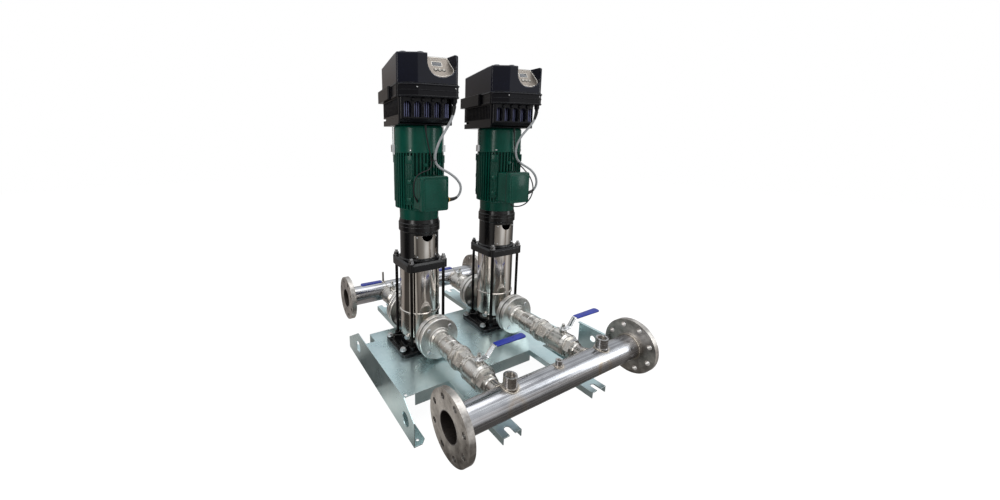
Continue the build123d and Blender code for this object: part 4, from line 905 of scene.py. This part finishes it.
def lever_grip(kind, side):
    reach, grip = LEVER_KINDS[kind]
    middle = LEVER_BASE + LEVER_RISE + LEVER_SHEET / 2
    stations = [(0.0, 11.2, 2.4), (0.8, 12.0, 3.2), (3.0, 12.4, 3.5), (9.0, 12.6, 3.6), (grip * 0.45, 12.9, 3.7),
                (grip * 0.8, 13.7, 3.9), (grip - 9, 14.0, 4.0), (grip - 4, 12.6, 3.9), (grip - 1.4, 9.2, 3.3),
                (grip - 0.3, 6.0, 2.2), (grip, 3.0, 1.0)]
    bm = bmesh.new()
    turns = [math.tau * k / 28 for k in range(28)]
    rings = []
    for along, half, thick in stations:
        outline = [(squared(math.cos(a), 0.38) * half, middle + squared(math.sin(a), 0.62) * thick) for a in turns]
        rings.append(lever_section(bm, kind, side, reach - grip + along, outline))
    skin(bm, rings)
    piece_from(bm, f"{kind}_grip_{side}", vinyl, 60, f"{kind}_valve_{side}")


def lever_nut(kind, side):
    """Nut with a washer on the stem's threaded tip."""
    bm = bmesh.new()
    place = Matrix.Translation((PUMPS[side], LEVER_STEMS[kind], PORT_Z))
    place = place @ at(0, 0, 0, 0 if kind == "discharge" else 180)
    top = LEVER_BASE + LEVER_SHEET
    turned(bm, [(0, top), (9.2, top), (9.2, top + 1.2), (8.8, top + 1.5), (0, top + 1.5)], place, 32)
    hexagon_head(bm, 17.0, top + 1.5, top + 8, place, 1.4)
    piece_from(bm, f"{kind}_lever_nut_{side}", zinc, 30, f"{kind}_valve_{side}")


for kind in LEVER_KINDS:
    for side in PUMPS:
        lever_strip(kind, side)
        lever_grip(kind, side)
        lever_nut(kind, side)

# %% [markdown]
# ## Welds on the manifolds
# Where a branch or socket is welded to the pipe, a fillet bead runs round the joint. The joint of two crossed
# pipes is a saddle curve, so the bead follows it: for each angle round the branch, the height is where the
# big pipe's surface is. Each small swelling along the bead is one dab of the welder's torch.

# %% Weld beads
PIPE_RADIUS = 44.45
weld_steel = satin_metal("weld_steel", colour(150, 140, 128), colour(205, 198, 188), (0.26, 0.44), 420.0, 0.25)


def saddle_points(radius):
    """Points round a branch that rises along +Z from a pipe along X."""
    points = ring_points(radius, 96)
    for p in points:
        p.z = (math.sqrt(PIPE_RADIUS ** 2 - (p.y / MM) ** 2) + 0.4) * MM
    return points


def dabs(radius):
    """The radius along a bead, which swells every few points."""
    return lambda k: radius * (1 + 0.16 * math.sin(k * math.tau / 4) + 0.05 * math.sin(k * 0.9))


def manifold_welds(name, axis_y, sockets, to_pumps, ends):
    bm = bmesh.new()
    middle = Matrix.Translation((0, axis_y, PORT_Z))
    for x, radius in sockets:
        swept(bm, [middle @ at(x, 0, 0) @ p for p in saddle_points(radius)], dabs(2.2), 10)
    for x in PUMPS.values():
        branch = middle @ Matrix.Translation((x, 0, 0)) @ to_pumps
        swept(bm, [branch @ p for p in saddle_points(27.6)], dabs(2.4), 10)
    for x in ends:
        rim = middle @ at(x, 0, 0) @ ALONG_X
        swept(bm, [rim @ p for p in ring_points(PIPE_RADIUS + 1.2, 150)], dabs(2.4), 10)
    piece_from(bm, name, weld_steel, 80)


manifold_welds("discharge_welds", DISCHARGE_Y, [(-186, 24.4), (224, 24.4), (15, 14.2)], ALONG_Y, (-367.2, 383.2))
manifold_welds("suction_welds", SUCTION_Y, [(-203, 8.4)], ALONG_MINUS_Y, (-363.2, 329.2))

# %% [markdown]
# ## Threads
# Open sockets show their thread, and so do the ends of the tie rods. A thread is one ridge wound round an
# axis, so it is swept along a helix that climbs one pitch for each turn.

# %% Threads
RIDGE_STEPS = 28


def thread(bm, radius, low, high, pitch, ridge, place):
    """A ridge along a helix, in millimetres."""
    count = int((high - low) / pitch * RIDGE_STEPS)
    points = []
    for k in range(count + 1):
        a = math.tau * k / RIDGE_STEPS
        climb = low + (high - low) * k / count
        points.append(place @ (Vector((radius * math.cos(a), radius * math.sin(a), climb)) * MM))
    swept(bm, points, lambda k: ridge, 6, False)


bm = bmesh.new()
manifold = Matrix.Translation((0, DISCHARGE_Y, 0))
for x in (-186, 224):
    thread(bm, 15.1, 303 - 20, 303 - 1.2, 2.31, 0.75, manifold @ at(x, 0, 0))
thread(bm, 6.5, 286 - 12, 286 - 0.8, 1.34, 0.42, manifold @ at(15, 0, 0))
piece_from(bm, "socket_threads", weld_steel, 60)

bm = bmesh.new()
for side in PUMPS:
    for x, y in ((-70, -70), (-70, 70), (70, -70), (70, 70)):
        place = pump_place(side) @ at(x, y, 0)
        thread(bm, 5.9, 518.0, 524.8, 1.75, 0.5, place)
        turned(bm, [(6.05, 525.3), (5.4, 526.2), (0, 526.2)], place, 24)
        hexagon_head(bm, 19.0, 507.6, 517.7, place, 1.6)
piece_from(bm, "rod_nuts_and_threads", shaft_steel)

# %% [markdown]
# ## Beads round a rectangle
# Seams, trims and steps often run round a box with rounded corners. One helper makes that path, and the bead
# helper from the welds follows it.


# %% A rounded path
def flat_bead(bm, corners, corner_radius, height, bead_radius, place, steps=6):
    """A bead round a polygon of (u, v) corners in millimetres, each corner turned with a radius."""
    points = []
    for before, here, after in zip(corners[-1:] + corners, corners, corners[1:] + corners[:1]):
        here = Vector(here)
        start = here + (Vector(before) - here).normalized() * corner_radius
        end = here + (Vector(after) - here).normalized() * corner_radius
        for step in range(steps + 1):
            share = step / steps
            flat = start * (1 - share) ** 2 + here * 2 * share * (1 - share) + end * share ** 2
            points.append(place @ (Vector((*flat, height)) * MM))
    swept(bm, points, lambda k: bead_radius)


def rectangle(left, right, low, high):
    return [(left, low), (right, low), (right, high), (left, high)]


def inverter_place(side):
    """The inverter's own frame, in which its lid lies square."""
    return pump_place(side) @ at(-7, -8, 0, INVERTER_TURN)


print("path helpers ready")

# %% [markdown]
# ## The keypad
# The plate lies in a scooped recess that leans back. It has a raised trim, a dark glass over the display, four
# small lamps and a ring round each key. The keys move, so their marks ride on the keys and not on the plate.

# %% Keypad finishes
display_glass = soft_solid("display_glass", colour(40, 46, 56), colour(56, 63, 74), (0.06, 0.12), 30.0, 0.02, 0.6)
lamp_lens = soft_solid("lamp_lens", colour(216, 214, 206), colour(240, 238, 230), (0.10, 0.18), 200.0, 0.03, 0.6)
dark_print = soft_solid("dark_print", colour(40, 42, 46), colour(58, 60, 64), (0.4, 0.5), 400.0, 0.05)
trim_metal = satin_metal("trim_metal", colour(200, 196, 188), colour(232, 229, 223), (0.16, 0.26), 300.0, 0.05)
PLATE_TOP = 1.6
KEY_TOP = 4.0
KEY_ROW = 35.0
KEY_PLACES = {"minus_key": 27.0, "plus_key": 41.5, "set_key": 56.0}
TRIM_OUTLINE = [(-3.6, 90), (-3.6, 40), (3.5, 22), (21, 9.5), (44, 5.6), (71, 11.3), (87.5, 23), (92.4, 40),
                (78.6, 90)]


def panel_place(side):
    """The keypad plate's frame: X across, Y up the slope and Z out of the plate."""
    slope = Vector((0, 57, 77)).normalized()
    outward = Vector((1, 0, 0)).cross(slope)
    lean = Matrix(((1, 0, 0), slope, outward)).transposed().to_4x4()
    return inverter_place(side) @ Matrix.Translation((0, -0.147, 1.163)) @ lean


# %% Keypad pieces
def keypad_details(side):
    place = panel_place(side)
    bm = bmesh.new()
    rounded_block(bm, (19.5, 52.5, 0.82), (52.5, 69.5, 1.50), place, 0.3)
    piece_from(bm, f"display_{side}", display_glass, 30)
    bm = bmesh.new()
    for across in (16, 28, 40, 52):
        turned(bm, [(0, -0.4), (2.1, -0.4), (2.1, 0.4), (1.5, 1.0), (0.7, 1.3), (0, 1.35)],
               place @ at(across, 80, PLATE_TOP), 20)
    piece_from(bm, f"keypad_lamps_{side}", lamp_lens, 60)
    bm = bmesh.new()
    flat_bead(bm, rectangle(18.2, 53.8, 51.2, 70.8), 2.0, PLATE_TOP, 0.8, place)
    flat_bead(bm, TRIM_OUTLINE, 5.0, PLATE_TOP, 1.2, place)
    piece_from(bm, f"keypad_trim_{side}", trim_metal, 70)
    bm = bmesh.new()
    for across in KEY_PLACES.values():
        round_bead(bm, 6.0, 0.9, place @ at(across, KEY_ROW, PLATE_TOP), 40)
    piece_from(bm, f"key_rings_{side}", dark_print, 70)


def key_marks(side):
    """Minus, plus and a small ring, each on its own key."""
    for key_name, across in KEY_PLACES.items():
        bm = bmesh.new()
        place = panel_place(side) @ at(across, KEY_ROW, KEY_TOP)
        if key_name == "set_key":
            round_bead(bm, 1.9, 0.35, place, 28, 6)
        else:
            rounded_block(bm, (-2.4, -0.45, -0.2), (2.4, 0.45, 0.25), place, 0.15, 2)
        if key_name == "plus_key":
            rounded_block(bm, (-0.45, -2.4, -0.2), (0.45, 2.4, 0.25), place, 0.15, 2)
        piece_from(bm, f"{key_name}_mark_{side}", dark_print, 40, f"{key_name}_{side}")


for side in PUMPS:
    keypad_details(side)
    key_marks(side)

# %% [markdown]
# ## Inverter case
# The rim under the lid is moulded in rounded steps, so beads run round it. Behind the duct's arches stand the
# dark blue ribs of the heat sink, and between the arches the moulding has short upright lugs. Upright fins run
# along the other walls of the duct.

# %% Inverter details
heat_sink_blue = satin_metal("heat_sink_blue", colour(92, 95, 128), colour(120, 124, 158), (0.34, 0.5), 300.0, 0.15)
CASE_STEPS = ((1140.5, 1.4, 3.2), (1123.0, 1.2, 1.8), (1104.5, 1.0, 3.0), (1146.5, -0.6, 1.2))


def case_plan(stand):
    """The lid's plan with its shallow facet at the front left, widened by stand."""
    half, front, rear = 105 + stand, -147 - stand, 147 + stand
    return [(-half, rear), (-half, front + 23), (-40, front), (half, front), (half, rear)]


def case_beads(side):
    place = inverter_place(side)
    bm = bmesh.new()
    for height, stand, radius in CASE_STEPS:
        flat_bead(bm, case_plan(stand), 15.0, height, radius, place)
    for across in (-52.5, -17.5, 17.5, 52.5):
        rounded_block(bm, (across - 3.4, -131.5, 1046), (across + 3.4, -126, 1100), place, 1.6)
        turned(bm, [(0, 126), (6.2, 126), (6.2, 132.5), (4.6, 134.5), (0, 134.5)],
               place @ at(across, 0, 1094) @ ALONG_MINUS_Y, 24)
    piece_from(bm, f"case_beads_{side}", base_plastic)


# %% Fins of the duct, ribs of the heat sink and screws of the case
def duct_details(side):
    place = inverter_place(side)
    bm = bmesh.new()
    for wall, first in ((-101.5, 0), (96.0, 1)):
        for step in range(first, 17):
            along = -100 + 14 * step
            rounded_block(bm, (wall, along - 2.2, 1046), (wall + 5.5, along + 2.2, 1098), place, 1.2, 2)
    for step in range(12):
        across = -82.5 + 15 * step
        rounded_block(bm, (across - 2.2, 146, 1020), (across + 2.2, 153, 1098), place, 1.2, 2)
    piece_from(bm, f"duct_fins_{side}", base_plastic)
    bm = bmesh.new()
    for arch in (-70, -35, 0, 35, 70):
        for across in (arch - 7.5, arch, arch + 7.5):
            rounded_block(bm, (across - 2.6, -112.5, 1024), (across + 2.6, -100, 1090), place, 1.4)
    piece_from(bm, f"heat_sink_ribs_{side}", heat_sink_blue)
    bm = bmesh.new()
    for across, depth in ((-42, 148.4), (92, 149.0)):
        turned(bm, [(0, -2), (2.6, -2), (2.6, 0.6), (1.6, 1.6), (0, 1.9)],
               place @ at(across, -depth, 1132) @ ALONG_MINUS_Y, 20)
    piece_from(bm, f"case_screws_{side}", shaft_steel)


for side in PUMPS:
    case_beads(side)
    duct_details(side)

# %% [markdown]
# ## Motor details
# The motor's feet pads are cast with the fins, so ribs run over each pad, with a lug at the top and two low
# bosses. A plug closes a drain hole low on the left. The terminal box has a seam, a raised field and screws.


# %% Ribs and bosses of the motor
def motor_details(side):
    pump = pump_place(side)
    bm = bmesh.new()
    for bearing in (-139, -41, 49, 139):
        place = pump @ at(0, 0, 0, bearing)
        for offset in (-12.6, -6.3, 0, 6.3, 12.6):
            rounded_block(bm, (91.5, offset - 1.2, 732), (95.6, offset + 1.2, 903), place, 0.7, 2)
        for reach, half, low, high in ((98.4, 13, 878, 908), (97.4, 10, 806, 822), (97.0, 10, 742, 756)):
            rounded_block(bm, (90, -half, low), (reach, half, high), place, 2.0)
    turned(bm, [(0, 80), (9, 80), (9, 93), (8.2, 94), (6.4, 94), (6.4, 99), (5.6, 100.4), (0, 100.8)],
           pump @ at(0, 0, 724, -127) @ ALONG_X, 28)
    for bearing in (-100, -62):
        turned(bm, [(0, 84), (8, 84), (8, 93), (6.6, 96.5), (4.0, 97.4), (0, 97.6)],
               pump @ at(0, 0, 874, bearing) @ ALONG_X, 28)
    piece_from(bm, f"motor_ribs_{side}", motor_green)


def cover_details(side):
    """Rolled edges at the foot and the top of the fan cover, and its four small screws."""
    pump = pump_place(side)
    bm = bmesh.new()
    for height, radius, bead_radius in ((919, 92.2, 1.1), (1005.5, 92.0, 1.0)):
        round_bead(bm, radius, bead_radius, pump @ at(0, 0, height))
    piece_from(bm, f"cover_edges_{side}", cover_green, 70)
    bm = bmesh.new()
    for bearing in (-135, -45, 45, 135):
        turned(bm, [(0, 90), (3.4, 90), (3.4, 93.4), (2.2, 94.8), (0, 95.1)],
               pump @ at(0, 0, 926, bearing) @ ALONG_X, 20)
    piece_from(bm, f"cover_screws_{side}", shaft_steel)


# %% Terminal box
def terminal_box_details(side):
    pump = pump_place(side)
    bm = bmesh.new()
    rounded_block(bm, (-55, -157.6, 727), (29, -155, 828), pump, 1.2)
    flat_bead(bm, rectangle(-63, 37, 719, 836), 7.0, 156.0, 1.3, pump @ ALONG_MINUS_Y)
    piece_from(bm, f"box_field_{side}", motor_green)
    bm = bmesh.new()
    flat_bead(bm, rectangle(-65.6, 39.6, 716.4, 838.6), 7.0, 136.2, 1.1, pump @ ALONG_MINUS_Y)
    piece_from(bm, f"box_seam_{side}", gasket_fibre)
    bm = bmesh.new()
    for x, z in rectangle(-59.2, 33.2, 722.8, 832.2):
        turned(bm, [(0, 155), (3.6, 155), (3.6, 156.8), (2.6, 158.0), (1.2, 158.0), (0.8, 157.2), (0, 157.2)],
               pump @ at(x, 0, z) @ ALONG_MINUS_Y, 20)
    piece_from(bm, f"box_screws_{side}", motor_green)
    bm = bmesh.new()
    gland = pump @ at(0, -125, 749) @ ALONG_X
    hexagon_head(bm, 23.4, 41.0, 47.0, gland, 1.2)
    hexagon_head(bm, 20.0, 51.0, 58.0, gland, 1.4)
    turned(bm, [(0, 57), (8.2, 57), (8.0, 60.5), (6.6, 62.4), (0, 62.4)], gland, 28)
    piece_from(bm, f"gland_nuts_{side}", brass, 30)


for side in PUMPS:
    motor_details(side)
    cover_details(side)
    terminal_box_details(side)

# %% [markdown]
# ## Guards, feet and fittings
# The guards are held by small screws. The fittings of the valve train are turned on a lathe, so thin raised
# rings mark their shoulders. Ribs run from the casing out to the bolts of the cast foot.

# %% Rings on the fittings: distance from the pump axis and radius
FITTING_RINGS = {
    "discharge": [(180, 31.3), (208, 31.3), (216, 38.0), (284, 38.0), (305, 43.0), (315.5, 43.0), (358, 33.2),
                  (372, 33.4), (379, 43.0), (448, 43.0), (484, 28.0)],
    "suction": [(180, 31.3), (208, 31.3), (257, 43.0), (326, 43.0)],
}


def fitting_rings(kind, side):
    bm = bmesh.new()
    turn = ALONG_MINUS_Y if kind == "discharge" else ALONG_Y
    line = pump_place(side) @ Matrix.Translation((0, 0, PORT_Z)) @ turn
    for distance, radius in FITTING_RINGS[kind]:
        round_bead(bm, radius, 1.1, line @ at(0, 0, distance), 72)
    piece_from(bm, f"{kind}_fitting_rings_{side}", plated_valve, 70)


# %% Guard screws and foot ribs
def guard_screws(side):
    bm = bmesh.new()
    for bearing in (-123, -57, 57, 123):
        for height in (524, 601):
            turned(bm, [(0, 72), (3.6, 72), (3.6, 74.6), (2.4, 75.8), (0, 76.0)],
                   pump_place(side) @ at(0, 0, height, bearing) @ ALONG_X, 20)
    piece_from(bm, f"guard_screws_{side}", zinc)


def foot_ribs(side):
    """Diagonal cast ribs from the casing out to each bolt boss, and a raised edge round the slab."""
    bm = bmesh.new()
    for bearing in (31.2, 148.8, 211.2, 328.8):
        rounded_block(bm, (58, -5, 143), (107, 5, 163), pump_place(side) @ at(0, 0, 0, bearing), 2.2)
    flat_bead(bm, rectangle(-115.5, 115.5, -88.5, 88.5), 14.0, 145.6, 1.8, pump_place(side))
    piece_from(bm, f"foot_ribs_{side}", cast_black, 45)


for side in PUMPS:
    guard_screws(side)
    foot_ribs(side)
    for kind in FITTING_RINGS:
        fitting_rings(kind, side)

# %% [markdown]
# ## Cable ends and ties
# A cable leaves its gland through a soft tapered sleeve, which follows the cable's own line. Where the two
# cables of a pump come closest, a tie holds them together. Both are made from points read off the curves.

# %% Cable sleeves
SLEEVE_LENGTH = {"power": 0.030, "signal": 0.020}


def first_stretch(points, wanted):
    """The start of a line, up to a wanted length in metres."""
    kept = [points[0]]
    run = 0.0
    for point in points[1:]:
        run += (point - kept[-1]).length
        kept.append(point)
        if run >= wanted:
            break
    return kept


def cable_sleeves(side):
    bm = bmesh.new()
    for kind, cable_radius in CABLE_RADIUS.items():
        line = cable_lines[kind, side]
        for points in (line, line[::-1]):
            points = first_stretch(points, SLEEVE_LENGTH[kind])
            last = len(points) - 1
            swept(bm, points, lambda k: cable_radius / MM * (1.65 - 0.55 * k / last), 16, False)
    piece_from(bm, f"cable_sleeves_{side}", jackets["signal"], 50)


# %% Cable ties
def cable_tie(side):
    """A band round both cables where they are nearest, with its small square lock."""
    power, signal = cable_lines["power", side], cable_lines["signal", side]
    _, k, other = min(((a - b).length, k, b) for k, a in enumerate(power) if 0 < k < len(power) - 1 for b in signal)
    along = (power[k + 1] - power[k - 1]).normalized()
    across = other - power[k]
    across -= along * across.dot(along)
    reach = across.length / 2
    across = across.normalized() if reach > 0.0005 else along.orthogonal().normalized()
    third = along.cross(across)
    middle = power[k] + across * reach
    turns = [math.tau * step / 36 for step in range(36)]
    points = [middle + across * math.cos(a) * (reach + 0.0052) + third * math.sin(a) * 0.0054 for a in turns]
    bm = bmesh.new()
    swept(bm, points, lambda n: 1.0)
    rounded_block(bm, (-2.6, -2.2, -2.4), (2.6, 2.2, 2.4), Matrix.Translation(middle - third * 0.0062), 0.7, 2)
    piece_from(bm, f"cable_tie_{side}", jackets["signal"], 50)


for side in PUMPS:
    cable_sleeves(side)
    cable_tie(side)
